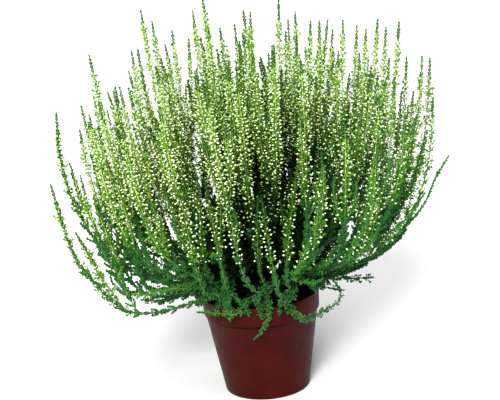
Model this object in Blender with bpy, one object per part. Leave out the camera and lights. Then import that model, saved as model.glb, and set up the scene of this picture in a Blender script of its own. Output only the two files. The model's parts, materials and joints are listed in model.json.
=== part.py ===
"""Potted heather: a tapered nursery pot filled with peat, a short woody crown, and a bush of leafy
flowering shoots that sweep outwards from the crown and then stand upright."""

import math
import random

import bmesh
import bpy
from mathutils import Vector
from mathutils.bvhtree import BVHTree
from mathutils.kdtree import KDTree

MM = 0.001
UP = Vector((0, 0, 1))
GOLDEN = (math.sqrt(5) - 1) / 2
PLASTIC = 0.7548776662

# Pot
POT_HEIGHT = 95 * MM
POT_TOP_RADIUS = 55 * MM
POT_BASE_RADIUS = 39.5 * MM
POT_WALL = 1.3 * MM
POT_FLOOR = 2 * MM
POT_SIDES = 36
BASE_ROUND = 2 * MM
LIP_ROUND = 0.5 * MM
COLLAR_DEPTH = 18 * MM
COLLAR_STEP = 1.6 * MM
COLLAR_DRAFT = 0.8 * MM
DRAIN_HOLES = 8
DRAIN_RADIUS = 3.5 * MM
DRAIN_CIRCLE = 28 * MM
DRAIN_SIDES = 8

# Peat and trunk
FIT = 0.3 * MM
PEAT_TOP = 84.5 * MM
PEAT_SIDES = 24
PEAT_RINGS = 4
PEAT_WAVE = 1.2 * MM
WAVE_LENGTHS = (9 * MM, 7 * MM, 5 * MM)
TRUNK_RADIUS = 6 * MM
TRUNK_TAPER = 0.9
TRUNK_FOOT = 50 * MM
TRUNK_SIDES = 8
CROWN_HEIGHT = 98 * MM
CROWN_RADIUS = 9 * MM
STUB_REACH = 28 * MM
STUB_ROOT = 5 * MM
STUB_RADII = (2.2 * MM, 1.5 * MM)
STUB_SIDES = 4
STUB_APART = math.radians(13)
STUB_LOWEST = math.radians(3)
TURN_ROUNDS = 60

# Courses of the shoots
SHOOT_COUNT = 102
SHOOT_POINTS = 24
SEAT_POINTS = 2
MAIN_LEAD = 0.6
MAIN_WANDER = 5 * MM
FORK_SHARE = (0.26, 0.4)
FORK_TURN = 0.65
FORK_POINTS = 4
SIDE_LEAD = 0.2
SIDE_OUT = 0.97
SIDE_RISE = 0.3
SIDE_BEND = 0.7
SKIRT_COUNT = 20
SKIRT_FORK = 2
SKIRT_LEAD = 0.35
SKIRT_BEND = 0.6
SKIRT_SAG = 6 * MM
SKIRT_RADIUS = (64 * MM, 84 * MM)
SKIRT_HEIGHT = (98 * MM, 114 * MM)
SHOOT_GAP = 0.8 * MM
SPREAD_ROUNDS = 45
SPREAD_STEP = 1.2 * MM
SMOOTHING = 0.15

# Form of the bush: an outer stem runs flatter and further out before it turns up than an inner one
FLAT_LEAN = math.radians(44)
STEEP_LEAN = math.radians(22)
FLAT_OUT = 0.96
STEEP_OUT = 0.85
BEND_DROP = 4 * MM
BEND_RISE = 0.34
FRONT_LIFT = 0.3
RIGHT_LIFT = 0.16
BUSH_WIDTH = 165 * MM
BUSH_DEPTH = 150 * MM
BUSH_HEIGHT = 342 * MM
BUSH_SHOULDER = 95 * MM
SHOULDER_POWER = 5
BACK_SLOPE = 0.22
OUTLINE_ROOM = 1.09
OUTLINE_DEPTH = 0.8
OUTLINE_FRONT = 0.25
INNER_DROP = (4 * MM, 30 * MM)
TIPS_APART = 19 * MM
SEED = 7

# Leaves and buds
SKIRT_GIRTH = 1.1
TWIG_GIRTH = 0.6
STEM_SIDES = 4
STEM_RADII = (1.5 * MM, 0.8 * MM)
BARE_LENGTH = 14 * MM
FIRST_REACH = 2.5 * MM
LEAF_SPACING = 14 * MM
LEAF_REACH = 8 * MM
LEAVES_OPEN = 60 * MM
BUD_LENGTH = 140 * MM
BUD_SPACING = 12.6 * MM
BUD_REACH = 4.8 * MM
TIP_LENGTH = 32 * MM
TIP_REACH = 1.9 * MM
CORNER_RISE = 4 * MM
ATTEMPTS = 8
ATTEMPT_TURN = 0.6
ATTEMPT_THINNING = 0.08
WELD = 0.003 * MM

# The photograph's eye point, from which the shoots' tips were read on the plane through the pot's axis.
EYE = Vector((0, -1420 * MM, 578 * MM))

# Tips on the bush's outline, left to right: across and up, in millimetres on that plane.
OUTLINE_TIPS = (
    (-155, 217), (-147, 282), (-135, 328), (-124, 276), (-115, 297), (-101, 310), (-97, 328), (-85, 364),
    (-76, 354), (-71, 319), (-59, 344), (-45, 335), (-39, 360), (-29, 369), (-26, 344), (-16, 342),
    (-3, 345), (6, 356), (12, 354), (38, 363), (45, 345), (52, 351), (65, 342), (73, 341), (80, 341),
    (84, 332), (94, 340), (106, 334), (114, 330), (125, 338), (132, 330), (144, 334), (149, 302),
    (148, 257), (163, 301), (170, 299), (171, 262),
)

# Tips of low shoots round the back of the bush: across, depth and height in millimetres.
BACK_TIPS = ((-150, 45, 200), (157, 62, 208), (-62, 138, 205), (74, 134, 214), (6, 150, 222))

# Low branches that leave the crown almost level, and twigs that lean over the pot's rim, as points
# across, depth and height in millimetres.
LOW_BRANCHES = (
    (
        (-26, -24, 103), (-61, -42, 102), (-84, -52, 100), (-107, -60, 102), (-123, -64, 108),
        (-142, -69, 132), (-159, -70, 160), (-167, -70, 190), (-174, -70, 229),
    ),
    (
        (-28, -3, 101), (-65, -7, 104), (-87, -5, 112), (-108, 0, 119), (-127, 5, 128), (-145, 10, 146),
        (-159, 15, 172), (-169, 18, 200), (-174, 20, 236), (-173, 20, 273),
    ),
    (
        (28, -4, 101), (56, -10, 104), (84, -18, 115), (114, -25, 131), (135, -28, 151), (155, -30, 174),
        (166, -30, 197), (178, -30, 215),
    ),
)
TWIGS = {
    "hanging_twig": (
        (3, -28, 102), (6, -44, 103), (7, -54, 102), (7, -60, 95), (4, -62, 86), (-1, -62, 77), (-8, -61, 70),
    ),
    "curled_twig": (
        (12, -26, 102), (18, -40, 103), (23, -53, 101), (28, -60, 92), (36, -62, 85), (46, -58, 85),
        (56, -53, 88), (68, -46, 91), (73, -43, 97), (71, -42, 106), (66, -42, 113),
    ),
    "low_twig": (
        (-25, -14, 102), (-42, -24, 104), (-59, -30, 110), (-76, -36, 115), (-91, -40, 115), (-104, -43, 114),
        (-118, -46, 117), (-129, -48, 124), (-133, -49, 134), (-131, -49, 147),
    ),
    "rim_twig": (
        (-6, -27, 102), (-9, -42, 103), (-14, -54, 101), (-23, -60, 94), (-33, -57, 94), (-44, -52, 94),
        (-57, -44, 93),
    ),
}


def material(name, colour, roughness):
    made = bpy.data.materials.new(name)
    made.use_nodes = True
    shader = made.node_tree.nodes["Principled BSDF"]
    shader.inputs["Base Color"].default_value = (*colour, 1)
    shader.inputs["Roughness"].default_value = roughness
    shader.inputs["Metallic"].default_value = 0
    return made


def add_object(name, bm, finish, smooth_angle=0.0):
    """Turns a bmesh into an object of the scene, with faces pointing outwards."""
    bmesh.ops.recalc_face_normals(bm, faces=bm.faces)
    mesh = bpy.data.meshes.new(name)
    bm.to_mesh(mesh)
    bm.free()
    mesh.materials.append(finish)
    if smooth_angle:
        mesh.shade_smooth()
        mesh.set_sharp_from_angle(angle=smooth_angle)
    made = bpy.data.objects.new(name, mesh)
    bpy.context.scene.collection.objects.link(made)
    return made


def turned(profile, sides):
    """A closed body of revolution about +Z, from a profile that starts and ends on the axis."""
    bm = bmesh.new()
    points = [bm.verts.new((radius, 0, height)) for radius, height in profile]
    edges = [bm.edges.new(pair) for pair in zip(points, points[1:])]
    bmesh.ops.spin(bm, geom=points + edges, axis=UP, cent=(0, 0, 0), angle=math.tau, steps=sides, use_merge=True)
    bmesh.ops.remove_doubles(bm, verts=bm.verts, dist=1e-6)
    bmesh.ops.dissolve_degenerate(bm, edges=bm.edges, dist=1e-7)
    return bm


def is_one_body(mesh):
    """Whether a union came out as one clean closed shell, with no scrap, sealed hollow or pinched edge."""
    bm = bmesh.new()
    bm.from_mesh(mesh)
    bmesh.ops.remove_doubles(bm, verts=bm.verts, dist=WELD)
    bmesh.ops.dissolve_degenerate(bm, edges=bm.edges, dist=WELD)
    clean = all(len(edge.link_faces) == 2 for edge in bm.edges)
    left = set(bm.faces)
    rim = [left.pop()]
    while rim:
        beside = {near for edge in rim.pop().edges for near in edge.link_faces} & left
        left -= beside
        rim += beside
    bm.free()
    return clean and not left


def fused(name, pieces, finish):
    """Joins closed pieces into one body by one Boolean union on a collection of them."""
    base, *others = pieces
    if not others:
        base.name = base.data.name = name
        return base
    group = bpy.data.collections.new(name + "_pieces")
    for piece in others:
        bpy.context.scene.collection.objects.unlink(piece)
        group.objects.link(piece)
    union = base.modifiers.new("Union", "BOOLEAN")
    union.operation = "UNION"
    union.operand_type = "COLLECTION"
    union.collection = group
    union.solver = "MANIFOLD"
    graph = bpy.context.evaluated_depsgraph_get()
    joined = bpy.data.meshes.new_from_object(base.evaluated_get(graph))
    base.modifiers.clear()
    base.data = joined
    base.name = joined.name = name
    joined.materials.clear()
    joined.materials.append(finish)
    for piece in others:
        bpy.data.objects.remove(piece)
    bpy.data.collections.remove(group)
    return base


def pot_radius(height):
    """The pot's outer radius under the collar."""
    collar_foot = POT_HEIGHT - COLLAR_DEPTH
    body_top = POT_TOP_RADIUS - COLLAR_DRAFT - COLLAR_STEP
    return POT_BASE_RADIUS + (body_top - POT_BASE_RADIUS) * height / collar_foot


def rounded(corner, radius, start, steps=3):
    """Points of a quarter circle tucked into a corner, from an angle start in degrees, turning left."""
    angles = [math.radians(start + 90 * step / steps) for step in range(steps + 1)]
    return [(corner[0] + radius * math.cos(angle), corner[1] + radius * math.sin(angle)) for angle in angles]


def make_pot(finish):
    collar_foot = POT_HEIGHT - COLLAR_DEPTH
    collar_radius = POT_TOP_RADIUS - COLLAR_DRAFT
    inner_shelf = collar_foot + POT_WALL
    outside = [(0, 0), *rounded((pot_radius(BASE_ROUND) - BASE_ROUND, BASE_ROUND), BASE_ROUND, -90)]
    outside += [
        (pot_radius(collar_foot), collar_foot),
        (collar_radius, collar_foot),
        (POT_TOP_RADIUS, POT_HEIGHT - LIP_ROUND),
        (POT_TOP_RADIUS - LIP_ROUND, POT_HEIGHT),
    ]
    inside = [
        (POT_TOP_RADIUS - POT_WALL, POT_HEIGHT),
        (collar_radius - POT_WALL, inner_shelf),
        (pot_radius(inner_shelf) - POT_WALL, inner_shelf),
        (pot_radius(POT_FLOOR) - POT_WALL, POT_FLOOR),
        (0, POT_FLOOR),
    ]
    pot = add_object("pot", turned(outside + inside, POT_SIDES), finish, math.radians(40))

    holes = bmesh.new()
    for number in range(DRAIN_HOLES):
        angle = math.tau * (number + 0.5) / DRAIN_HOLES
        hole = bmesh.ops.create_cone(
            holes, cap_ends=True, segments=DRAIN_SIDES, radius1=DRAIN_RADIUS, radius2=DRAIN_RADIUS, depth=6 * POT_FLOOR
        )
        place = (DRAIN_CIRCLE * math.cos(angle), DRAIN_CIRCLE * math.sin(angle), 0)
        bmesh.ops.translate(holes, verts=hole["verts"], vec=place)
    cutter = add_object("drain_hole_cutter", holes, finish)
    cutter.hide_render = True
    cutter.display_type = "WIRE"
    drill = pot.modifiers.new("Drain holes", "BOOLEAN")
    drill.operation = "DIFFERENCE"
    drill.object = cutter
    drill.solver = "EXACT"


def make_root_ball(finish):
    """Peat that fills the pot to just above the collar's shelf, with a plain hole for the trunk."""
    shelf = POT_HEIGHT - COLLAR_DEPTH + POT_WALL
    foot = POT_FLOOR + FIT
    hole_radius = TRUNK_RADIUS + 2 * FIT
    hole_foot = TRUNK_FOOT - FIT
    side_top = pot_radius(shelf) - POT_WALL - FIT
    rim = POT_TOP_RADIUS - COLLAR_DRAFT - POT_WALL - FIT
    profile = [(0, foot), (pot_radius(foot) - POT_WALL - 2 * FIT, foot), (side_top, shelf + FIT), (rim, shelf + FIT)]
    for ring in range(PEAT_RINGS + 1):
        profile.append((rim + (hole_radius - rim) * ring / PEAT_RINGS, PEAT_TOP))
    profile += [(hole_radius, hole_foot), (0, hole_foot)]
    bm = turned(profile, PEAT_SIDES)
    for vert in bm.verts:
        if vert.co.z > PEAT_TOP - MM:
            across, along, slanted = vert.co.x, vert.co.y, vert.co.x - vert.co.y
            wave = math.sin(across / WAVE_LENGTHS[0] + 1) + math.cos(along / WAVE_LENGTHS[1])
            vert.co.z += PEAT_WAVE * (wave + math.sin(slanted / WAVE_LENGTHS[2])) / 2
    add_object("root_ball", bm, finish, math.radians(30))


def smooth_rise(value, low, high):
    """0 below low, 1 above high, and an even curve between."""
    share = min(max((value - low) / (high - low), 0), 1)
    return share * share * (3 - 2 * share)


def bezier(start, lead, middle, end, count=40):
    """Points on a curve that leaves start towards lead, and is pulled by middle on its way to end."""
    points = []
    for step in range(count):
        share = step / (count - 1)
        rest = 1 - share
        near, far = lead * 3 * rest**2 * share, middle * 3 * rest * share**2
        points.append(start * rest**3 + near + far + end * share**3)
    return points


def smooth_course(points, count):
    """Evenly spaced points on a smooth curve through the given ones."""
    padded = [2 * points[0] - points[1], *points, 2 * points[-1] - points[-2]]
    fine = []
    for before, here, after, beyond in zip(padded, padded[1:], padded[2:], padded[3:]):
        for step in range(8):
            share = step / 8
            bend = 2 * here + (after - before) * share
            bend += (2 * before - 5 * here + 4 * after - beyond) * share**2
            bend += (3 * here - before - 3 * after + beyond) * share**3
            fine.append(bend / 2)
    fine.append(points[-1])
    return evened(fine, count)


def lengths_along(points):
    lengths = [0.0]
    for here, after in zip(points, points[1:]):
        lengths.append(lengths[-1] + (after - here).length)
    return lengths


def point_at(points, lengths, along):
    """The point, and the direction, at a length along a course."""
    last = len(points) - 2
    step = 0
    while step < last and lengths[step + 1] < along:
        step += 1
    share = (along - lengths[step]) / (lengths[step + 1] - lengths[step])
    return points[step].lerp(points[step + 1], share), (points[step + 1] - points[step]).normalized()


def evened(points, count):
    lengths = lengths_along(points)
    return [point_at(points, lengths, lengths[-1] * step / (count - 1))[0] for step in range(count)]


class Shoot:
    """One shoot: the course of its stem, and how far its leaves and buds stand out along it."""

    def __init__(self, stem, course, parent=None, fork=0, firm=False, girth=1.0):
        self.stem = stem
        self.course = course
        self.parent = parent
        self.fork = fork
        self.firm = firm
        self.girth = girth

    def length(self):
        return lengths_along(self.course)[-1]

    def reach_at(self, along):
        to_tip = self.length() - along
        if to_tip < TIP_LENGTH:
            reach = TIP_REACH + (BUD_REACH - TIP_REACH) * to_tip / TIP_LENGTH
        elif to_tip < BUD_LENGTH:
            reach = BUD_REACH
        else:
            opened = 1 if self.parent else smooth_rise(along, 0, LEAVES_OPEN)
            reach = FIRST_REACH + (LEAF_REACH - FIRST_REACH) * opened
        return reach * self.girth


def bush_height(across, depth):
    """How high the tips stand over a place in the bush, which is lower towards its edge and its back."""
    edge = math.hypot(across / BUSH_WIDTH, depth / BUSH_DEPTH)
    return BUSH_HEIGHT - BUSH_SHOULDER * edge**SHOULDER_POWER - BACK_SLOPE * max(depth, 0)


def shoot_tips(chance, taken):
    """The tips of all shoots: those seen on the outline first, then the rest of the bush in a golden spiral."""
    tips = []
    for number, (across, height) in enumerate(OUTLINE_TIPS):
        room = math.sqrt((OUTLINE_ROOM * BUSH_WIDTH) ** 2 - (across * MM) ** 2)
        depth = OUTLINE_DEPTH * room * ((number * GOLDEN) % 1 - OUTLINE_FRONT)
        on_plane = Vector((across, 0, height)) * MM
        tips.append(EYE + (on_plane - EYE) * (1 - depth / EYE.y))
    tips += [Vector(tip) * MM for tip in BACK_TIPS]
    number = 0
    while len(tips) < SHOOT_COUNT - len(taken):
        number += 1
        angle = math.tau * GOLDEN * number
        edge = math.sqrt((number * PLASTIC) % 1)
        across = BUSH_WIDTH * edge * math.cos(angle)
        depth = BUSH_DEPTH * edge * math.sin(angle)
        tip = Vector((across, depth, bush_height(across, depth) - chance.uniform(*INNER_DROP)))
        if all((tip - other).length > TIPS_APART for other in taken + tips):
            tips.append(tip)
    return tips


def take_nearest(tips, place):
    nearest = min(tips, key=lambda tip: (tip - place).length)
    tips.remove(nearest)
    return nearest


def middle_of(tip):
    """The point that pulls a stem outwards before it turns up: lower and further out for an outer tip."""
    crown = Vector((0, 0, CROWN_HEIGHT))
    steep = 1 - smooth_rise((tip - crown).angle(UP), STEEP_LEAN, FLAT_LEAN)
    out = FLAT_OUT + (STEEP_OUT - FLAT_OUT) * steep
    height = CROWN_HEIGHT - BEND_DROP + BEND_RISE * steep * (tip.z - CROWN_HEIGHT)
    height += FRONT_LIFT * max(-tip.y, 0) + RIGHT_LIFT * max(tip.x, 0)
    return Vector((tip.x * out, tip.y * out, height))


def spread_directions(directions):
    """Turns directions away from each other until no two are closer than STUB_APART."""
    for _ in range(TURN_ROUNDS):
        for number, one in enumerate(directions):
            for other in directions[:number]:
                angle = one.angle(other)
                if angle < STUB_APART:
                    away = (one - other).normalized() * (STUB_APART - angle) / 2
                    one += away
                    other -= away
            one.z = max(one.z, math.sin(STUB_LOWEST))
            one.normalize()


def clear_of_pot(point, reach):
    """Moves a point of a shoot up over the pot's rim, or out past its side."""
    over = POT_HEIGHT + reach + MM
    past = POT_TOP_RADIUS + reach + MM
    out = math.hypot(point.x, point.y)
    if point.z >= over or out >= past:
        return point
    if over - point.z < past - out:
        return Vector((point.x, point.y, over))
    return Vector((point.x * past / out, point.y * past / out, point.z))


def need_room(shoot, step, other, other_step):
    """Whether two points of the bush keep apart: those of one stem do only well past its fork."""
    if shoot is other:
        return False
    if shoot.stem != other.stem:
        return True
    return (step if shoot.parent else other_step) >= FORK_POINTS


def spread_shoots(shoots):
    """Eases shoots of different stems apart, until their leaves and buds have room."""
    widest = 2 * LEAF_REACH + SHOOT_GAP
    for _ in range(SPREAD_ROUNDS):
        owners = [(shoot, step) for shoot in shoots for step in range(SHOOT_POINTS)]
        reaches = {}
        for shoot in shoots:
            spacing = shoot.length() / (SHOOT_POINTS - 1)
            reaches[shoot] = [shoot.reach_at(spacing * step) for step in range(SHOOT_POINTS)]
        tree = KDTree(len(owners))
        for index, (shoot, step) in enumerate(owners):
            tree.insert(shoot.course[step], index)
        tree.balance()
        moves = {}
        for shoot in shoots:
            moves[shoot] = [Vector() for _ in range(SHOOT_POINTS)]
            for step in range(SEAT_POINTS, SHOOT_POINTS):
                point = shoot.course[step]
                for place, index, distance in tree.find_range(point, widest):
                    other, other_step = owners[index]
                    need = reaches[shoot][step] + reaches[other][other_step] + SHOOT_GAP
                    if distance < need and need_room(shoot, step, other, other_step):
                        moves[shoot][step] += (point - place).normalized() * (need - distance) / 2
        for shoot in shoots:
            drift = moves[shoot]
            for step in range(SEAT_POINTS, SHOOT_POINTS if not shoot.firm else 0):
                after = drift[min(step + 1, SHOOT_POINTS - 1)]
                move = (drift[step - 1] + 2 * drift[step] + after) / 4
                if move.length > SPREAD_STEP:
                    move = move.normalized() * SPREAD_STEP
                shoot.course[step] = shoot.course[step] + move
        for shoot in shoots:
            if shoot.parent:
                carry = shoot.parent.course[shoot.fork] - shoot.course[0]
                for step in range(SHOOT_POINTS):
                    shoot.course[step] = shoot.course[step] + carry * (1 - step / (SHOOT_POINTS - 1)) ** 2
            for step in range(SEAT_POINTS, SHOOT_POINTS if not shoot.firm else 0):
                if step < SHOOT_POINTS - 1:
                    smooth = (shoot.course[step - 1] + shoot.course[step + 1]) / 2
                    shoot.course[step] = shoot.course[step].lerp(smooth, SMOOTHING)
                shoot.course[step] = clear_of_pot(shoot.course[step], reaches[shoot][step])


def fork_heading(main, fork, tip):
    """The direction in which a side shoot leaves its stem: forward, and turned towards its own tip."""
    root = main.course[fork]
    heading = (main.course[fork + 1] - root).normalized()
    aside = tip - root
    aside = (aside - heading * aside.dot(heading)).normalized()
    return (heading + aside * FORK_TURN).normalized()


def skirt_shoots(stems, chance):
    """Short leafy shoots low on the stems, which lean over the pot's rim all round."""
    skirts = []
    for number in range(SKIRT_COUNT):
        angle = math.tau * (number + chance.uniform(-0.3, 0.3)) / SKIRT_COUNT
        outward = Vector((math.cos(angle), math.sin(angle), 0))
        free = [stem for stem in stems if all(skirt.parent is not stem for skirt in skirts)]
        main = max(free, key=lambda stem: stem.course[SKIRT_FORK].dot(outward - UP / 2))
        root = main.course[SKIRT_FORK]
        tip = outward * chance.uniform(*SKIRT_RADIUS) + UP * chance.uniform(*SKIRT_HEIGHT)
        lead = root + fork_heading(main, SKIRT_FORK, tip) * (tip - root).length * SKIRT_LEAD
        course = bezier(root, lead, root.lerp(tip, SKIRT_BEND) + UP * SKIRT_SAG, tip)
        skirts.append(Shoot(main.stem, evened(course, SHOOT_POINTS), main, SKIRT_FORK, girth=SKIRT_GIRTH))
    return skirts


def grow_shoots():
    """All shoots. A flowering stem has a main shoot from the crown and a side one that forks from it."""
    chance = random.Random(SEED)
    crown = Vector((0, 0, CROWN_HEIGHT))
    firm_points = [[Vector(point) * MM for point in points] for points in (*LOW_BRANCHES, *TWIGS.values())]
    low_tips = [points[-1] for points in firm_points[: len(LOW_BRANCHES)]]
    tips = shoot_tips(chance, low_tips)
    pairs = [(low_tip, take_nearest(tips, low_tip)) for low_tip in low_tips]
    tips.sort(key=lambda tip: -math.hypot(tip.x, tip.y))
    while tips:
        first = tips.pop(0)
        pairs.append((first, take_nearest(tips, first)))
    middles = [middle_of(main_tip) for main_tip, _ in pairs[len(low_tips) :]]
    directions = [(points[1] - crown).normalized() for points in firm_points]
    directions += [(middle - crown).normalized() for middle in middles]
    spread_directions(directions)
    seats = [crown + direction * (STUB_REACH + FIT) for direction in directions]
    mains = []
    for number, seat in enumerate(seats):
        if number < len(firm_points):
            course = smooth_course([seat, *firm_points[number][1:]], SHOOT_POINTS)
            girth = 1 if number < len(low_tips) else TWIG_GIRTH
            mains.append(Shoot(number, course, firm=True, girth=girth))
            continue
        middle = middles[number - len(firm_points)]
        bend = middle + Vector([chance.uniform(-MAIN_WANDER, MAIN_WANDER) for _ in range(3)])
        lead = seat + directions[number] * (bend - seat).length * MAIN_LEAD
        tip = pairs[number - len(TWIGS)][0]
        mains.append(Shoot(number, evened(bezier(seat, lead, bend, tip), SHOOT_POINTS)))
    twigs = mains[len(low_tips) : len(firm_points)]
    stems = mains[: len(low_tips)] + mains[len(firm_points) :]
    sides = []
    for main, (_, side_tip) in zip(stems, pairs):
        fork = round(SHOOT_POINTS * chance.uniform(*FORK_SHARE))
        root = main.course[fork]
        lead = root + fork_heading(main, fork, side_tip) * (side_tip - root).length * SIDE_LEAD
        below_tip = Vector((side_tip.x * SIDE_OUT, side_tip.y * SIDE_OUT, lead.z + SIDE_RISE * (side_tip.z - lead.z)))
        bend = lead.lerp(below_tip, SIDE_BEND)
        sides.append(Shoot(main.stem, evened(bezier(root, lead, bend, side_tip), SHOOT_POINTS), main, fork))
    skirts = skirt_shoots(stems, chance)
    spread_shoots(stems + sides + skirts + twigs)
    grown = [[shoot for shoot in stems + sides + skirts if shoot.stem == main.stem] for main in stems]
    return grown, twigs, directions


def add_shoot(name, shoot, finish, turn, thin):
    """A four-sided stem, drawn out ring by ring: at each ring two opposite corners stand out as leaves or buds,
    and the next two at the ring after, as the pairs of leaves stand on heather."""
    course = shoot.course
    lengths = lengths_along(course)
    total = lengths[-1]
    along = [0, BARE_LENGTH]
    while along[-1] < total - BUD_SPACING * shoot.girth:
        leafy = total - BUD_LENGTH - along[-1] > LEAF_SPACING / 2
        along.append(along[-1] + (LEAF_SPACING if leafy else BUD_SPACING * shoot.girth))
    along = [min(place, total) for place in along]
    bm = bmesh.new()
    corners = bmesh.ops.create_circle(bm, cap_ends=True, segments=STEM_SIDES, radius=1)["verts"]
    edges = list({edge for corner in corners for edge in corner.link_edges})
    facing = Vector((math.cos(turn), math.sin(turn), 0))
    for number, place in enumerate(along):
        if number:
            grown = bmesh.ops.extrude_edge_only(bm, edges=edges)["geom"]
            fresh = [item for item in grown if isinstance(item, bmesh.types.BMVert)]
            edges = [item for item in grown if isinstance(item, bmesh.types.BMEdge)]
            corners = [min(fresh, key=lambda vert: (vert.co - corner.co).length) for corner in corners]
        centre, heading = point_at(course, lengths, place)
        facing = (facing - heading * facing.dot(heading)).normalized()
        beside = heading.cross(facing)
        stem = STEM_RADII[0] + (STEM_RADII[1] - STEM_RADII[0]) * place / total
        reach = max(shoot.reach_at(place) * thin, stem)
        for side, corner in enumerate(corners):
            stands_out = number > 1 and (side + number) % 2 == 0
            angle = math.tau * side / STEM_SIDES
            out = facing * math.cos(angle) + beside * math.sin(angle)
            lift = heading * CORNER_RISE if stands_out else Vector()
            corner.co = centre + out * (reach if stands_out else stem) + lift
    centre, heading = point_at(course, lengths, total)
    bmesh.ops.pointmerge(bm, verts=corners, merge_co=centre + heading * CORNER_RISE)
    bmesh.ops.dissolve_degenerate(bm, edges=bm.edges, dist=1e-7)
    return add_object(name, bm, finish)


def prism(name, start, end, radii, sides, finish):
    """A closed tapered bar between two points."""
    bm = bmesh.new()
    bar = bmesh.ops.create_cone(
        bm, cap_ends=True, segments=sides, radius1=radii[0], radius2=radii[1], depth=(end - start).length
    )
    turn = UP.rotation_difference(end - start).to_matrix()
    bmesh.ops.rotate(bm, verts=bar["verts"], matrix=turn, cent=(0, 0, 0))
    bmesh.ops.translate(bm, verts=bar["verts"], vec=(start + end) / 2)
    return add_object(name, bm, finish)


def make_woody_crown(directions, finish):
    """The trunk in its hole, the knot at its head, and a stub for every stem that grows from it."""
    crown = Vector((0, 0, CROWN_HEIGHT))
    knot = bmesh.new()
    bmesh.ops.create_icosphere(knot, subdivisions=2, radius=CROWN_RADIUS)
    bmesh.ops.translate(knot, verts=knot.verts, vec=crown)
    foot = Vector((0, 0, TRUNK_FOOT))
    pieces = [
        add_object("crown_knot", knot, finish),
        prism("crown_trunk", foot, crown, (TRUNK_RADIUS, TRUNK_RADIUS * TRUNK_TAPER), TRUNK_SIDES, finish),
    ]
    for number, direction in enumerate(directions):
        root = crown + direction * STUB_ROOT
        end = crown + direction * STUB_REACH
        pieces.append(prism(f"crown_stub_{number}", root, end, STUB_RADII, STUB_SIDES, finish))
    fused("woody_crown", pieces, finish)


def tree_of(made):
    mesh = made.data
    mesh.calc_loop_triangles()
    points = [vert.co.copy() for vert in mesh.vertices]
    return BVHTree.FromPolygons(points, [tuple(face.vertices) for face in mesh.loop_triangles])


def make_stems(stems, twigs, finish):
    """One node for each stem with its shoots. A stem that comes out pinched, or that would cross an earlier
    one, is drawn again with its leaves turned and a little shorter."""
    names = [*TWIGS, *(f"flowering_stem_{number:02d}" for number in range(1, len(stems) + 1))]
    grown = []
    for name, shoots in zip(names, [(twig,) for twig in twigs] + stems):
        for attempt in range(ATTEMPTS):
            turn = len(grown) * GOLDEN * math.tau + attempt * ATTEMPT_TURN
            thin = 1 - attempt * ATTEMPT_THINNING
            pieces = []
            for shoot in shoots:
                pieces.append(add_shoot(f"{name}_{len(pieces)}", shoot, finish, turn + len(pieces), thin))
            stem = fused(name, pieces, finish)
            tree = tree_of(stem)
            if is_one_body(stem.data) and not any(tree.overlap(other) for other in grown):
                break
            if attempt < ATTEMPTS - 1:
                bpy.data.objects.remove(stem)
        grown.append(tree)


def main():
    for old in list(bpy.data.objects):
        bpy.data.objects.remove(old)
    terracotta = material("pot", (0.34, 0.055, 0.035), 0.45)
    peat = material("peat", (0.035, 0.022, 0.014), 0.95)
    bark = material("bark", (0.11, 0.07, 0.04), 0.85)
    foliage = material("foliage", (0.16, 0.33, 0.07), 0.6)
    make_pot(terracotta)
    make_root_ball(peat)
    stems, twigs, directions = grow_shoots()
    make_woody_crown(directions, bark)
    make_stems(stems, twigs, foliage)


main()
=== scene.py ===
"""Potted heather dressed for display: a plastic nursery pot, dark peat, and a bush of leafy wands strung
with pale buds, grown on the same courses as the solid model's stems. The stage is a plain pale floor."""

import json
import math
import random
from dataclasses import dataclass

import bmesh
import bpy
from mathutils import Matrix, Vector
from mathutils.kdtree import KDTree

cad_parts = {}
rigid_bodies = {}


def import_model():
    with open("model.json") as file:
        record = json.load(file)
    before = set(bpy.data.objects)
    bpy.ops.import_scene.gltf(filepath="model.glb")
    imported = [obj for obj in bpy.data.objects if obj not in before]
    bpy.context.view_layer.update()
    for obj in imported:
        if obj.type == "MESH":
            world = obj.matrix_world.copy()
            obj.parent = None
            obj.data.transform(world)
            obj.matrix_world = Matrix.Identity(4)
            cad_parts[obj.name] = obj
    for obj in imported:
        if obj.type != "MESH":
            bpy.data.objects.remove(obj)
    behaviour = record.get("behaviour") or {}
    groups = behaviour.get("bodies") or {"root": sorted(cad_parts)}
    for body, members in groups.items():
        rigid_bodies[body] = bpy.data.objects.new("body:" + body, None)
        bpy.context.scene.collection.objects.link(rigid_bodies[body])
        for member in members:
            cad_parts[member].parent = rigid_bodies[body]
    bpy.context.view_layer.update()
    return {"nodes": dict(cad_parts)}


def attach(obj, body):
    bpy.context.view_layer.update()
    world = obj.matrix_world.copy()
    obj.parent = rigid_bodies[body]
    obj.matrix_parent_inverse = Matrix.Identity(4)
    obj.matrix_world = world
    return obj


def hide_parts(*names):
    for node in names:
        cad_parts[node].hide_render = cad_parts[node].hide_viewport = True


bl_info = {
    "name": "Potted Heather",
    "version": (1, 0, 0),
    "blender": (4, 5, 0),
    "location": "3D View > Sidebar > Heather",
    "description": "Dresses a potted heather with leaves, buds, peat and a moulded pot",
    "category": "Add Mesh",
}

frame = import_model()

MM = 0.001
UP = Vector((0, 0, 1))
GOLDEN = (math.sqrt(5) - 1) / 2
PLASTIC = 0.7548776662

# Pot, as in the solid model
POT_HEIGHT = 95 * MM
POT_TOP_RADIUS = 55 * MM
POT_BASE_RADIUS = 39.5 * MM
POT_WALL = 1.3 * MM
POT_FLOOR = 2 * MM
BASE_ROUND = 2 * MM
LIP_ROUND = 0.5 * MM
COLLAR_DEPTH = 18 * MM
COLLAR_FOOT = POT_HEIGHT - COLLAR_DEPTH
COLLAR_STEP = 1.6 * MM
COLLAR_DRAFT = 0.8 * MM
DRAIN_HOLES = 8
DRAIN_RADIUS = 3.5 * MM
DRAIN_CIRCLE = 28 * MM

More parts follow.
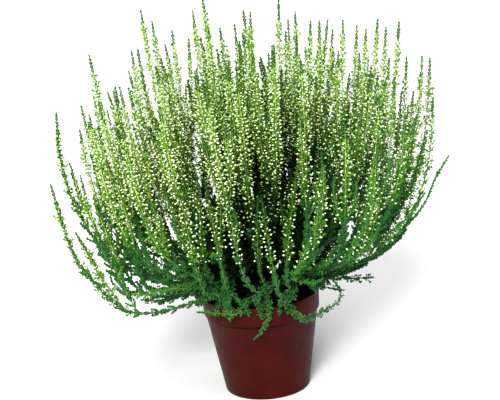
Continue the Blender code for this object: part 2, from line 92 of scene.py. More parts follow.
# Peat and trunk, as in the solid model
PEAT_TOP = 84.5 * MM
TRUNK_RADIUS = 6 * MM
TRUNK_FOOT = 50 * MM
CROWN_HEIGHT = 98 * MM
CROWN_RADIUS = 9 * MM
STUB_REACH = 28 * MM
STUB_ROOT = 5 * MM
STUB_RADII = (2.2 * MM, 1.5 * MM)
STUB_APART = math.radians(13)
STUB_LOWEST = math.radians(3)
TURN_ROUNDS = 60
FIT = 0.3 * MM

# Courses of the shoots, as in the solid model
SHOOT_COUNT = 102
SHOOT_POINTS = 24
SEAT_POINTS = 2
MAIN_LEAD = 0.6
MAIN_WANDER = 5 * MM
FORK_SHARE = (0.26, 0.4)
FORK_TURN = 0.65
FORK_POINTS = 4
SIDE_LEAD = 0.2
SIDE_OUT = 0.97
SIDE_RISE = 0.3
SIDE_BEND = 0.7
SKIRT_COUNT = 20
SKIRT_FORK = 2
SKIRT_LEAD = 0.35
SKIRT_BEND = 0.6
SKIRT_SAG = 6 * MM
SKIRT_RADIUS = (64 * MM, 84 * MM)
SKIRT_HEIGHT = (98 * MM, 114 * MM)
SHOOT_GAP = 0.8 * MM
SPREAD_ROUNDS = 45
SPREAD_STEP = 1.2 * MM
SMOOTHING = 0.15

# Room that a shoot's leaves and buds take, as in the solid model
SKIRT_GIRTH = 1.1
TWIG_GIRTH = 0.6
FIRST_REACH = 2.5 * MM
LEAF_REACH = 8 * MM
LEAVES_OPEN = 60 * MM
BUD_LENGTH = 140 * MM
BUD_REACH = 4.8 * MM
TIP_LENGTH = 32 * MM
TIP_REACH = 1.9 * MM

# Form of the bush: an outer stem runs flatter and further out before it turns up than an inner one
FLAT_LEAN = math.radians(44)
STEEP_LEAN = math.radians(22)
FLAT_OUT = 0.96
STEEP_OUT = 0.85
BEND_DROP = 4 * MM
BEND_RISE = 0.34
FRONT_LIFT = 0.3
RIGHT_LIFT = 0.16
BUSH_WIDTH = 165 * MM
BUSH_DEPTH = 150 * MM
BUSH_HEIGHT = 342 * MM
BUSH_SHOULDER = 95 * MM
SHOULDER_POWER = 5
BACK_SLOPE = 0.22
OUTLINE_ROOM = 1.09
OUTLINE_DEPTH = 0.8
OUTLINE_FRONT = 0.25
INNER_DROP = (4 * MM, 30 * MM)
TIPS_APART = 19 * MM
SEED = 7

# The photograph's eye point, from which the shoots' tips were read on the plane through the pot's axis.
EYE = Vector((0, -1420 * MM, 578 * MM))

# Tips on the bush's outline, left to right: across and up, in millimetres on that plane.
OUTLINE_TIPS = (
    (-155, 217), (-147, 282), (-135, 328), (-124, 276), (-115, 297), (-101, 310), (-97, 328), (-85, 364),
    (-76, 354), (-71, 319), (-59, 344), (-45, 335), (-39, 360), (-29, 369), (-26, 344), (-16, 342),
    (-3, 345), (6, 356), (12, 354), (38, 363), (45, 345), (52, 351), (65, 342), (73, 341), (80, 341),
    (84, 332), (94, 340), (106, 334), (114, 330), (125, 338), (132, 330), (144, 334), (149, 302),
    (148, 257), (163, 301), (170, 299), (171, 262),
)

# Tips of low shoots round the back of the bush: across, depth and height in millimetres.
BACK_TIPS = ((-150, 45, 200), (157, 62, 208), (-62, 138, 205), (74, 134, 214), (6, 150, 222))

# Low branches that leave the crown almost level, and twigs that lean over the pot's rim, as points
# across, depth and height in millimetres.
LOW_BRANCHES = (
    (
        (-26, -24, 103), (-61, -42, 102), (-84, -52, 100), (-107, -60, 102), (-123, -64, 108),
        (-142, -69, 132), (-159, -70, 160), (-167, -70, 190), (-174, -70, 229),
    ),
    (
        (-28, -3, 101), (-65, -7, 104), (-87, -5, 112), (-108, 0, 119), (-127, 5, 128), (-145, 10, 146),
        (-159, 15, 172), (-169, 18, 200), (-174, 20, 236), (-173, 20, 273),
    ),
    (
        (28, -4, 101), (56, -10, 104), (84, -18, 115), (114, -25, 131), (135, -28, 151), (155, -30, 174),
        (166, -30, 197), (178, -30, 215),
    ),
)
TWIGS = {
    "hanging_twig": (
        (3, -28, 102), (6, -44, 103), (7, -54, 102), (7, -60, 95), (4, -62, 86), (-1, -62, 77), (-8, -61, 70),
    ),
    "curled_twig": (
        (12, -26, 102), (18, -40, 103), (23, -53, 101), (28, -60, 92), (36, -62, 85), (46, -58, 85),
        (56, -53, 88), (68, -46, 91), (73, -43, 97), (71, -42, 106), (66, -42, 113),
    ),
    "low_twig": (
        (-25, -14, 102), (-42, -24, 104), (-59, -30, 110), (-76, -36, 115), (-91, -40, 115), (-104, -43, 114),
        (-118, -46, 117), (-129, -48, 124), (-133, -49, 134), (-131, -49, 147),
    ),
    "rim_twig": (
        (-6, -27, 102), (-9, -42, 103), (-14, -54, 101), (-23, -60, 94), (-33, -57, 94), (-44, -52, 94),
        (-57, -44, 93),
    ),
}

# How each kind of wand is dressed: the radii of its stem at foot and tip, its bare foot, the size of its
# leafy twigs, what share of them is tufted, and how close they stand
WAND_FORMS = {
    "main": ((0.95 * MM, 0.4 * MM), 2 * MM, 1.0, 0.0, 1.1),
    "branch": ((0.95 * MM, 0.4 * MM), 2 * MM, 1.0, 0.0, 1.1),
    "side": ((0.7125 * MM, 0.4 * MM), 4 * MM, 1.0, 0.0, 1.1),
    "skirt": ((0.7 * MM, 0.4 * MM), 4 * MM, 0.85, 0.4, 1.3),
    "twig": ((0.7 * MM, 0.4 * MM), 5 * MM, 0.46, 1.0, 1.3),
    "beside": ((0.7 * MM, 0.35 * MM), 12 * MM, 0.6, 0.0, 1.0),
    "basal": ((0.6 * MM, 0.35 * MM), 3 * MM, 0.75, 0.5, 1.0),
    "hanging": ((0.5 * MM, 0.3 * MM), 2 * MM, 0.6, 0.7, 1.3),
    "rising": ((0.65 * MM, 0.3 * MM), 3 * MM, 0.7, 0.0, 1.0),
}
TWIG_SPREAD = 26

# Twigs, leaves and buds, shared by all the shoots
TWIG_SHAPES = 5
LONG_TWIG = (0.32, 5)
SHORT_TWIG = (0.38, 4)
LONG_FROM = 9.5 * MM
SHORTEST_TWIG = 6 * MM
LEAF_WIDTH = 0.62
FULL_REACH_FROM = 28 * MM
LOOSE_LEAF_STEP = 2.6 * MM
TIP_FULLNESS = 1.35
CORD_FULLNESS = 1.15
SPRIG_SHAPES = 6
TUFT_SHAPES = 4
BUD_RADII = (0.15, 0.15, 0.27)
BUD_GROWN_FROM = 16 * MM
LOOSE_LEAVES_FROM = 45 * MM
TUFT_SEED, SPRIG_SEED, DRESSING_SEED, CRUMB_SEED = 50, 100, 11, 3
LEAF_FINISH, STEM_FINISH, BRACT_FINISH = range(3)

# For the three low branches: how far the leafy twigs lean out, in degrees, what share of the branch is in
# bud, and the size of its twigs
BRANCH_FORMS = {
    "flowering_stem_01": (26, 0.6, 0.8),
    "flowering_stem_02": (32, 0.4, 1.0),
    "flowering_stem_03": (14, 0.1, 0.72),
}
BRANCH_TAPER = 0.5

# How long the stretch in bud is, how much of a wand it may take up, and where leaves take the place of buds
LEAST_IN_BUD = 0.05
TALL_IN_BUD = 0.075
FRONT_IN_BUD = 0.075
MOST_IN_BUD = 0.82
FLAT_FROM = (math.radians(15), math.radians(40))
LEFT_FROM = (-60 * MM, 60 * MM)
RIGHT_LEAFINESS = 0.45
LOWEST_BUDS = 140 * MM
STEEP_HEADING = 0.75
BRACT_SHARE = 0.45

# Added shoots: points of their courses, and the gaps that they keep from the pot
SIDE_POINTS, SHORT_POINTS, RISING_POINTS = 12, 10, 14
WIDE_GAP = 3 * MM
RIM_GAP = 1.5 * MM
SHORTEST_IN_BUD = 30 * MM

# Side wands: how far their tips stay below the tall wand's, in millimetres, and how far out they reach
SIDE_PLACES = ((24, 56, 1.0), (44, 76, 1.1), (60, 100, 1.5), (82, 128, 2.0))
SIDE_PLACES_AT_EDGE = 2
SEEN_FROM_SIDE = 3
SIDE_SPOTS = ((0.7, 8 * MM), (1.0, 9 * MM))
WAYS_ROUND = 9
TALL_ENOUGH = 130 * MM
BUSH_EDGE = 125 * MM
LOWEST_ROOTS = (30 * MM, 50 * MM)
SHORTEST_SIDE = 35 * MM
MOST_ROOM = 6 * MM

# The bush's outside widens from this share of its width at the crown to all of it at this height. Painted
# shade darkens the foliage inside the bush: its colours fall to the last share of themselves at the first
# share of the way out and deeper in, and are full at the second. The colours of the leaves are counted lower
# towards the right
BOWL_FOOT = 0.4
BOWL_TOP = 225 * MM
CORE_SHADE = (0.6, 1.0, 0.09)
RIGHT_DEPTH = 0.3

# The photograph's view and the studio: for each light its name, its setting, how wide it shines from, in
# degrees, and where to
PHOTO_WIDTH = 500
FOCAL_PIXELS = 1600
SENSOR_WIDTH = 36
YAW = math.radians(-0.094)
PITCH = math.radians(-15.546)
ROLL = math.radians(-4.853)
CAMERA_PLACE = Vector((0, -1.4206, 0.5776))
CLIPPING = (0.05, 50)
FLOOR_RADIUS = 9
LIGHTS = (
    ("key_light", "key_strength", 18, Vector((0.15, 0.83, -0.54))),
    ("top_light", "top_strength", 45, Vector((-0.1, 0.25, -0.96))),
)


def colour_setting(name, description, default):
    """A colour that can be changed in the panel."""
    return bpy.props.FloatVectorProperty(
        name=name, description=description, subtype="COLOR", size=3, min=0, max=1, default=default
    )


def length_setting(name, description, default):
    """A length that can be changed in the panel."""
    return bpy.props.FloatProperty(name=name, description=description, default=default, unit="LENGTH")


def count_setting(name, description, default, least):
    """A number of pieces that can be changed in the panel."""
    return bpy.props.IntProperty(name=name, description=description, default=default, min=least)


def strength_setting(name, description, default):
    """A light's strength that can be changed in the panel."""
    return bpy.props.FloatProperty(name=name, description=description, default=default, min=0)


class HeatherPotSettings(bpy.types.PropertyGroup):
    sides: count_setting("Sides", "Number of faces round the pot", 128, 32)
    colour: colour_setting("Colour", "Colour of the pot's plastic", (0.038, 0.0019, 0.001))
    roughness: bpy.props.FloatProperty(
        name="Roughness", description="How dull the pot is", subtype="FACTOR", min=0, max=1, default=0.5
    )


class HeatherPeatSettings(bpy.types.PropertyGroup):
    crumbs: count_setting("Crumbs", "Number of loose crumbs on the peat", 600, 0)
    crumb_size: length_setting("Crumb Size", "Largest radius of a crumb", 1.3 * MM)
    colour: colour_setting("Colour", "Colour of the damp peat", (0.009, 0.006, 0.0045))


class HeatherShootSettings(bpy.types.PropertyGroup):
    twig_spacing: length_setting("Twig Spacing", "Distance between pairs of leafy twigs", 4.8 * MM)
    twig_length: length_setting("Twig Length", "Length of a full-grown leafy twig", 12 * MM)
    leaf_length: length_setting("Leaf Length", "Length of a full-grown leaf", 2.8 * MM)
    wand_length: length_setting("Side Wand Length", "Length of the flowering side wands", 72 * MM)
    old_leaf: colour_setting("Old Leaf", "Colour of leaves low in the bush", (0.024, 0.104, 0.025))
    young_leaf: colour_setting("Young Leaf", "Colour of leaves at the top of the bush", (0.025, 0.112, 0.006))
    bract: colour_setting("Bract", "Colour of the light leaves among the buds", (0.19, 0.44, 0.026))
    stem: colour_setting("Stem", "Colour of green stems", (0.52, 0.64, 0.14))


class HeatherBudSettings(bpy.types.PropertyGroup):
    spacing: length_setting("Spacing", "Distance between buds along a wand", 0.72 * MM)
    length: length_setting("Length", "Length of a full-grown bud with its stalk", 5.5 * MM)
    colour: colour_setting("Colour", "Colour of full-grown buds", (0.84, 1.0, 0.55))
    # This green is also the painted shade of buds deep inside the bush.
    green: colour_setting("Green", "Colour of young buds", (0.36, 0.7, 0.12))


class HeatherStageSettings(bpy.types.PropertyGroup):
    floor_colour: colour_setting("Floor", "Colour of the floor", (0.9, 0.9, 0.9))
    key_strength: strength_setting("Key Light", "Strength of the light from behind the camera", 4.55)
    top_strength: strength_setting("Top Light", "Strength of the light above", 1.7)
    sky_strength: strength_setting("Fill Light", "Strength of the light all round", 0.42)


def add_object(name, data):
    """A new object in the scene for a mesh, a curve, a light or a camera."""
    made = bpy.data.objects.new(name, data)
    bpy.context.scene.collection.objects.link(made)
    return made


def mesh_of(bm, name):
    """A mesh made from a bmesh, which is then let go."""
    mesh = bpy.data.meshes.new(name)
    bm.to_mesh(mesh)
    bm.free()
    return mesh


def add_piece(name, bm, finishes, replaced=(), smooth_angle=0.0):
    """Turns a bmesh into a finished piece of the plant, in place of the solids that it stands for."""
    mesh = mesh_of(bm, name)
    for finish in finishes:
        mesh.materials.append(finish)
    if smooth_angle:
        mesh.shade_smooth()
        mesh.set_sharp_from_angle(angle=smooth_angle)
    piece = add_object(name, mesh)
    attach(piece, "root")
    if replaced:
        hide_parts(*replaced)
    return piece


def shade(colour, factor):
    """A colour made lighter or darker."""
    return tuple(min(part * factor, 1) for part in colour)


class Finish:
    """A material in the making: its shader, the place on the object, and ways to add linked nodes."""

    def __init__(self, name, roughness, specular):
        self.material = bpy.data.materials.new(name)
        self.material.use_nodes = True
        self.tree = self.material.node_tree
        self.shader = self.tree.nodes["Principled BSDF"]
        self.shader.inputs["Roughness"].default_value = roughness
        self.shader.inputs["Specular IOR Level"].default_value = specular
        self.place = self.node("TexCoord").outputs["Object"]

    def node(self, kind, values=None, links=None, operation=None):
        """Adds a node, sets its unlinked inputs, and links outputs into the others."""
        node = self.tree.nodes.new("ShaderNode" + kind)
        if operation:
            node.operation = operation
        for key, value in (values or {}).items():
            node.inputs[key].default_value = value
        for key, output in (links or {}).items():
            self.tree.links.new(output, node.inputs[key])
        return node

    def noise(self, scale, detail=2.0, roughness=0.5):
        values = {"Scale": scale, "Detail": detail, "Roughness": roughness}
        return self.node("TexNoise", values, {"Vector": self.place}).outputs["Fac"]

    def arithmetic(self, operation, *terms):
        """The result of a sum of numbers and linked values."""
        values = {key: term for key, term in enumerate(terms) if isinstance(term, (int, float))}
        links = {key: term for key, term in enumerate(terms) if key not in values}
        return self.node("Math", values, links, operation).outputs["Value"]

    def between(self, value, low, high, least=0.0):
        """A value from low to high as a share from least to 1."""
        limits = {"From Min": low, "From Max": high, "To Min": least}
        return self.node("MapRange", limits, {"Value": value}).outputs["Result"]

    def height(self):
        return self.node("SeparateXYZ", links={"Vector": self.place}).outputs["Z"]

    def height_share(self, low, high):
        """How far up the bush a point is, counted lower towards the right, where the leaves stay deeper."""
        height = self.node("VectorMath", {1: (-RIGHT_DEPTH, 0, 1)}, {0: self.place}, "DOT_PRODUCT")
        return self.between(height.outputs["Value"], low, high)

    def outer_share(self, low, high, least=0.0):
        """How near the bush's surface a place is, from least deep inside to 1 outside."""
        height = self.height()
        shares = (1 / BUSH_WIDTH, 1 / BUSH_DEPTH, 0)
        scaled = self.node("VectorMath", {1: shares}, {0: self.place}, "MULTIPLY").outputs["Vector"]
        aside = self.node("VectorMath", links={0: scaled}, operation="LENGTH").outputs["Value"]
        aside = self.arithmetic("DIVIDE", aside, self.between(height, CROWN_HEIGHT, BOWL_TOP, BOWL_FOOT))
        risen = self.between(height, CROWN_HEIGHT, BUSH_HEIGHT)
        both = self.node("CombineXYZ", links={0: aside, 1: risen}).outputs[0]
        out = self.node("VectorMath", links={0: both}, operation="LENGTH").outputs["Value"]
        return self.between(out, low, high, least)

    def varied(self, share, scale, amount):
        """A share that changes from one small piece to the next by an amount either way."""
        swing = self.arithmetic("MULTIPLY_ADD", self.noise(scale), 4 * amount, -2 * amount)
        return self.arithmetic("ADD", share, swing)

    def paint(self, share, *stops, painted_core_shade=False):
        """Colours the shader along a ramp, with painted shade deepest near the crown, where little light
        falls, if asked.
        """
        ramp = self.node("ValToRGB", links={"Fac": share})
        points = ramp.color_ramp.elements
        while len(points) < len(stops):
            points.new(0.5)
        for point, (place, colour) in zip(points, stops):
            point.position = place
            point.color = (*colour, 1)
        colour = ramp.outputs["Color"]
        # Painted shade: the colour is scaled down deep inside the bush, near the crown.
        if painted_core_shade:
            links = {0: colour, 3: self.outer_share(*CORE_SHADE)}
            colour = self.node("VectorMath", links=links, operation="SCALE").outputs["Vector"]
        self.tree.links.new(colour, self.shader.inputs["Base Color"])

    def roughen(self, height, strength, distance):
        """Lets a pattern of heights show as fine bumps."""
        bump = self.node("Bump", {"Strength": strength, "Distance": distance}, {"Height": height})
        self.tree.links.new(bump.outputs["Normal"], self.shader.inputs["Normal"])


def pot_finish(settings):
    """Moulded plastic, a little mottled, with painted shade in patches along the step under the collar."""
    made = Finish("pot_plastic", settings.roughness, 0.06)
    # Painted shade: a dark band in patches along the step under the collar, where the collar's shadow falls.
    from_step = made.arithmetic("SUBTRACT", made.height(), COLLAR_FOOT - MM)
    step_shade = made.between(made.arithmetic("ABSOLUTE", from_step), 1.6 * MM, 0.2 * MM)
    step_shade = made.arithmetic("MULTIPLY", step_shade, made.between(made.noise(24, 3.0), 0.35, 0.6))
    mottled_and_step_shaded = made.arithmetic("SUBTRACT", made.noise(38, 4.0, 0.6), step_shade)
    plain = tuple(settings.colour)
    painted_step_shade, deep, light = shade(plain, 0.15), shade(plain, 0.7), shade(plain, 1.25)
    made.paint(mottled_and_step_shaded, (0.0, painted_step_shade), (0.3, deep), (0.55, plain), (0.75, light))
    dull = made.between(made.noise(90, 3.0), 0.2, 0.9)
    dull = made.arithmetic("MULTIPLY_ADD", dull, 0.2, settings.roughness - 0.1)
    made.tree.links.new(dull, made.shader.inputs["Roughness"])
    made.roughen(made.noise(420, 3.0), 0.25, 0.3 * MM)
    return made.material


def peat_finish(settings):
    """Dark crumbly peat, damp in patches."""
    made = Finish("peat", 0.95, 0.03)
    damp = tuple(settings.colour)
    made.paint(made.noise(260, 5.0, 0.7), (0.35, shade(damp, 0.5)), (0.6, damp), (0.8, shade(damp, 1.8)))
    made.roughen(made.noise(520, 4.0, 0.7), 0.8, 1.2 * MM)
    return made.material


def bark_finish():
    """Nearly black bark with a rough grain."""
    made = Finish("bark", 0.85, 0.03)
    grain = made.noise(300, 4.0, 0.65)
    dark, brown, worn = (0.002, 0.0015, 0.001), (0.004, 0.003, 0.002), (0.01, 0.007, 0.004)
    made.paint(grain, (0.3, dark), (0.55, brown), (0.8, worn))
    made.roughen(grain, 0.7, 0.6 * MM)
    return made.material


def foliage_finish(name, roughness, specular, heights, scale, amount, stops):
    """A finish that goes through its colours with height, varies from place to place, and has painted shade
    in its core.
    """
    made = Finish(name, roughness, specular)
    made.paint(made.varied(made.height_share(*heights), scale, amount), *stops, painted_core_shade=True)
    return made.material


def leaf_finish(settings):
    """Small leaves, bluish and darkened by painted shade inside the bush, fresh green at its edge, each a bit
    different.
    """
    old, young = tuple(settings.old_leaf), tuple(settings.young_leaf)
    middle = tuple((one + other) / 2 for one, other in zip(old, young))
    stops = ((0.0, shade(old, 0.45)), (0.2, old), (0.42, shade(old, 1.35)), (0.7, middle), (0.95, young))
    return foliage_finish("heather_leaf", 0.55, 0.05, (0.02, 0.33), 700, 0.6, stops)


def bract_finish(settings):
    """The lighter leaves among the buds: fresh green low down and lime at the bush's edge, darkened inside
    the bush by painted shade.
    """
    lime, old, young = tuple(settings.bract), tuple(settings.old_leaf), tuple(settings.young_leaf)
    stops = ((0.0, shade(old, 1.5)), (0.3, shade(young, 1.8)), (0.8, shade(lime, 0.55)), (1.0, lime))
    return foliage_finish("heather_bract", 0.5, 0.05, (0.06, 0.28), 600, 0.5, stops)


def stem_finish(settings):
    """Lime stems that turn to brown wood near the crown, darkened inside the bush by painted shade."""
    brown, dark, green = (0.03, 0.03, 0.012), (0.08, 0.17, 0.04), (0.15, 0.29, 0.05)
    stops = ((0.0, brown), (0.2, dark), (0.5, green), (0.95, tuple(settings.stem)))
    return foliage_finish("heather_stem", 0.5, 0.1, (0.07, 0.27), 120, 0.12, stops)


def bud_finish(settings):
    """Closed waxy buds: creamy white, greener at the top, and turned darker green deep inside the bush as
    painted shade.
    """
    made = Finish("heather_bud", 0.4, 0.5)
    young = made.arithmetic("MULTIPLY", made.between(made.height(), 0.25, 0.37), 0.6)
    # Painted shade: buds deeper inside the bush go from a slightly lighter cream at its outside to the darker
    # green.
    inside = made.arithmetic("SUBTRACT", 0.9, made.outer_share(0.55, 1.0))
    inside = made.arithmetic("MAXIMUM", inside, 0.0)
    share = made.varied(made.arithmetic("ADD", young, inside), 430, 0.4)
    cream, green = tuple(settings.colour), tuple(settings.green)
    made.paint(share, (0.0, shade(cream, 1.08)), (0.3, cream), (0.75, green))
    return made.material


def floor_finish(settings):
    """A pale floor, hardly uneven."""
    made = Finish("stage_floor", 0.8, 0.5)
    pale = tuple(settings.floor_colour)
    made.paint(made.noise(2), (0.3, shade(pale, 0.985)), (0.7, pale))
    return made.material


def smooth_rise(value, low, high):
    """0 below low, 1 above high, and an even curve between."""
    share = min(max((value - low) / (high - low), 0), 1)
    return share * share * (3 - 2 * share)


def bezier(start, lead, middle, end, count=40):
    """Points on a curve that leaves start towards lead, and is pulled by middle on its way to end."""
    points = []
    for step in range(count):
        share = step / (count - 1)
        rest = 1 - share
        near, far = lead * 3 * rest**2 * share, middle * 3 * rest * share**2
        points.append(start * rest**3 + near + far + end * share**3)
    return points


def smooth_course(points, count):
    """Evenly spaced points on a smooth curve through the given ones."""
    padded = [2 * points[0] - points[1], *points, 2 * points[-1] - points[-2]]
    fine = []
    for before, here, after, beyond in zip(padded, padded[1:], padded[2:], padded[3:]):
        for step in range(8):
            share = step / 8
            bend = 2 * here + (after - before) * share
            bend += (2 * before - 5 * here + 4 * after - beyond) * share**2
            bend += (3 * here - before - 3 * after + beyond) * share**3
            fine.append(bend / 2)
    fine.append(points[-1])
    return evened(fine, count)


def lengths_along(points):
    """The length of a course up to each of its points."""
    lengths = [0.0]
    for here, after in zip(points, points[1:]):
        lengths.append(lengths[-1] + (after - here).length)
    return lengths


def step_at(lengths, along):
    """The stretch of a course that a length along it falls in, and the share of that stretch before it."""
    step = 0
    while step < len(lengths) - 2 and lengths[step + 1] < along:
        step += 1
    return step, (along - lengths[step]) / (lengths[step + 1] - lengths[step])


def evened(points, count):
    """A number of points at even distances along a course."""
    lengths = lengths_along(points)
    even = []
    for number in range(count):
        step, share = step_at(lengths, lengths[-1] * number / (count - 1))
        even.append(points[step].lerp(points[step + 1], share))
    return even


def square_to(heading, direction):
    """A direction turned to stand square to a heading."""
    return (direction - heading * direction.dot(heading)).normalized()


@dataclass(eq=False)
class Shoot:
    """One shoot: the course of its stem, and how far its leaves and buds stand out along it."""

    stem: int
    course: list
    parent: object = None
    fork: int = 0
    firm: bool = False
    girth: float = 1.0

    def length(self):
        return lengths_along(self.course)[-1]

    def reach_at(self, along):
        """How far leaves and buds stand out at a length along the shoot."""
        to_tip = self.length() - along
        if to_tip < TIP_LENGTH:
            reach = TIP_REACH + (BUD_REACH - TIP_REACH) * to_tip / TIP_LENGTH
        elif to_tip < BUD_LENGTH:
            reach = BUD_REACH
        else:
            opened = 1 if self.parent else smooth_rise(along, 0, LEAVES_OPEN)
            reach = FIRST_REACH + (LEAF_REACH - FIRST_REACH) * opened
        return reach * self.girth


def bush_height(across, depth):
    """How high the tips stand over a place in the bush, which is lower towards its edge and its back."""
    edge = math.hypot(across / BUSH_WIDTH, depth / BUSH_DEPTH)
    return BUSH_HEIGHT - BUSH_SHOULDER * edge**SHOULDER_POWER - BACK_SLOPE * max(depth, 0)


def shoot_tips(chance, taken):
    """The tips of all shoots: those seen on the outline first, then the rest in a golden spiral."""
    tips = []
    for number, (across, height) in enumerate(OUTLINE_TIPS):
        room = math.sqrt((OUTLINE_ROOM * BUSH_WIDTH) ** 2 - (across * MM) ** 2)
        depth = OUTLINE_DEPTH * room * ((number * GOLDEN) % 1 - OUTLINE_FRONT)
        on_plane = Vector((across, 0, height)) * MM
        tips.append(EYE + (on_plane - EYE) * (1 - depth / EYE.y))
    tips += [Vector(tip) * MM for tip in BACK_TIPS]
    number = 0
    while len(tips) < SHOOT_COUNT - len(taken):
        number += 1
        angle = math.tau * GOLDEN * number
        edge = math.sqrt((number * PLASTIC) % 1)
        across = BUSH_WIDTH * edge * math.cos(angle)
        depth = BUSH_DEPTH * edge * math.sin(angle)
        tip = Vector((across, depth, bush_height(across, depth) - chance.uniform(*INNER_DROP)))
        if all((tip - other).length > TIPS_APART for other in taken + tips):
            tips.append(tip)
    return tips


def take_nearest(tips, place):
    """Takes the tip nearest to a place out of the list of tips."""
    nearest = min(tips, key=lambda tip: (tip - place).length)
    tips.remove(nearest)
    return nearest


def middle_of(tip):
    """The point that pulls a stem outwards before it turns up: lower and further out for an outer tip."""
    crown = Vector((0, 0, CROWN_HEIGHT))
    steep = 1 - smooth_rise((tip - crown).angle(UP), STEEP_LEAN, FLAT_LEAN)
    out = FLAT_OUT + (STEEP_OUT - FLAT_OUT) * steep
    height = CROWN_HEIGHT - BEND_DROP + BEND_RISE * steep * (tip.z - CROWN_HEIGHT)
    height += FRONT_LIFT * max(-tip.y, 0) + RIGHT_LIFT * max(tip.x, 0)
    return Vector((tip.x * out, tip.y * out, height))


def spread_directions(directions):
    """Turns directions away from each other until no two are closer than STUB_APART."""
    for _ in range(TURN_ROUNDS):
        for number, one in enumerate(directions):
            for other in directions[:number]:
                angle = one.angle(other)
                if angle < STUB_APART:
                    away = (one - other).normalized() * (STUB_APART - angle) / 2
                    one += away
                    other -= away
            one.z = max(one.z, math.sin(STUB_LOWEST))
            one.normalize()


def clear_of_pot(point, reach):
    """Moves a point of a shoot up over the pot's rim, or out past its side."""
    over = POT_HEIGHT + reach + MM
    past = POT_TOP_RADIUS + reach + MM
    out = math.hypot(point.x, point.y)
    if point.z >= over or out >= past:
        return point
    if over - point.z < past - out:
        return Vector((point.x, point.y, over))
    return Vector((point.x * past / out, point.y * past / out, point.z))


def need_room(shoot, step, other, other_step):
    """Whether two points of the bush keep apart: those of one stem do only well past its fork."""
    if shoot is other:
        return False
    if shoot.stem != other.stem:
        return True
    return (step if shoot.parent else other_step) >= FORK_POINTS


def spread_shoots(shoots):
    """Eases shoots of different stems apart, until their leaves and buds have room."""
    widest = 2 * LEAF_REACH + SHOOT_GAP
    for _ in range(SPREAD_ROUNDS):
        owners = [(shoot, step) for shoot in shoots for step in range(SHOOT_POINTS)]
        reaches = {}
        for shoot in shoots:
            spacing = shoot.length() / (SHOOT_POINTS - 1)
            reaches[shoot] = [shoot.reach_at(spacing * step) for step in range(SHOOT_POINTS)]
        tree = KDTree(len(owners))
        for index, (shoot, step) in enumerate(owners):
            tree.insert(shoot.course[step], index)
        tree.balance()
        moves = {}
        for shoot in shoots:
            moves[shoot] = [Vector() for _ in range(SHOOT_POINTS)]
            for step in range(SEAT_POINTS, SHOOT_POINTS):
                point = shoot.course[step]
                for place, index, distance in tree.find_range(point, widest):
                    other, other_step = owners[index]
                    need = reaches[shoot][step] + reaches[other][other_step] + SHOOT_GAP
                    if distance < need and need_room(shoot, step, other, other_step):
                        moves[shoot][step] += (point - place).normalized() * (need - distance) / 2
        for shoot in shoots:
            drift = moves[shoot]
            for step in range(SEAT_POINTS, SHOOT_POINTS if not shoot.firm else 0):
                after = drift[min(step + 1, SHOOT_POINTS - 1)]
                move = (drift[step - 1] + 2 * drift[step] + after) / 4
                if move.length > SPREAD_STEP:
                    move = move.normalized() * SPREAD_STEP
                shoot.course[step] = shoot.course[step] + move
        for shoot in shoots:
            if shoot.parent:
                carry = shoot.parent.course[shoot.fork] - shoot.course[0]
                for step in range(SHOOT_POINTS):
                    shoot.course[step] = shoot.course[step] + carry * (1 - step / (SHOOT_POINTS - 1)) ** 2
            for step in range(SEAT_POINTS, SHOOT_POINTS if not shoot.firm else 0):
                if step < SHOOT_POINTS - 1:
                    smooth = (shoot.course[step - 1] + shoot.course[step + 1]) / 2
                    shoot.course[step] = shoot.course[step].lerp(smooth, SMOOTHING)
                shoot.course[step] = clear_of_pot(shoot.course[step], reaches[shoot][step])


def fork_heading(main, fork, tip):
    """The direction in which a side shoot leaves its stem: forward, and turned towards its own tip."""
    root = main.course[fork]
    heading = (main.course[fork + 1] - root).normalized()
    return (heading + square_to(heading, tip - root) * FORK_TURN).normalized()


def skirt_shoots(stems, chance):
    """Short leafy shoots low on the stems, which lean over the pot's rim all round."""
    skirts = []
    for number in range(SKIRT_COUNT):
        angle = math.tau * (number + chance.uniform(-0.3, 0.3)) / SKIRT_COUNT
        outward = Vector((math.cos(angle), math.sin(angle), 0))
        free = [stem for stem in stems if all(skirt.parent is not stem for skirt in skirts)]
        main = max(free, key=lambda stem: stem.course[SKIRT_FORK].dot(outward - UP / 2))
        root = main.course[SKIRT_FORK]
        tip = outward * chance.uniform(*SKIRT_RADIUS) + UP * chance.uniform(*SKIRT_HEIGHT)
        lead = root + fork_heading(main, SKIRT_FORK, tip) * (tip - root).length * SKIRT_LEAD
        course = bezier(root, lead, root.lerp(tip, SKIRT_BEND) + UP * SKIRT_SAG, tip)
        skirts.append(Shoot(main.stem, evened(course, SHOOT_POINTS), main, SKIRT_FORK, girth=SKIRT_GIRTH))
    return skirts


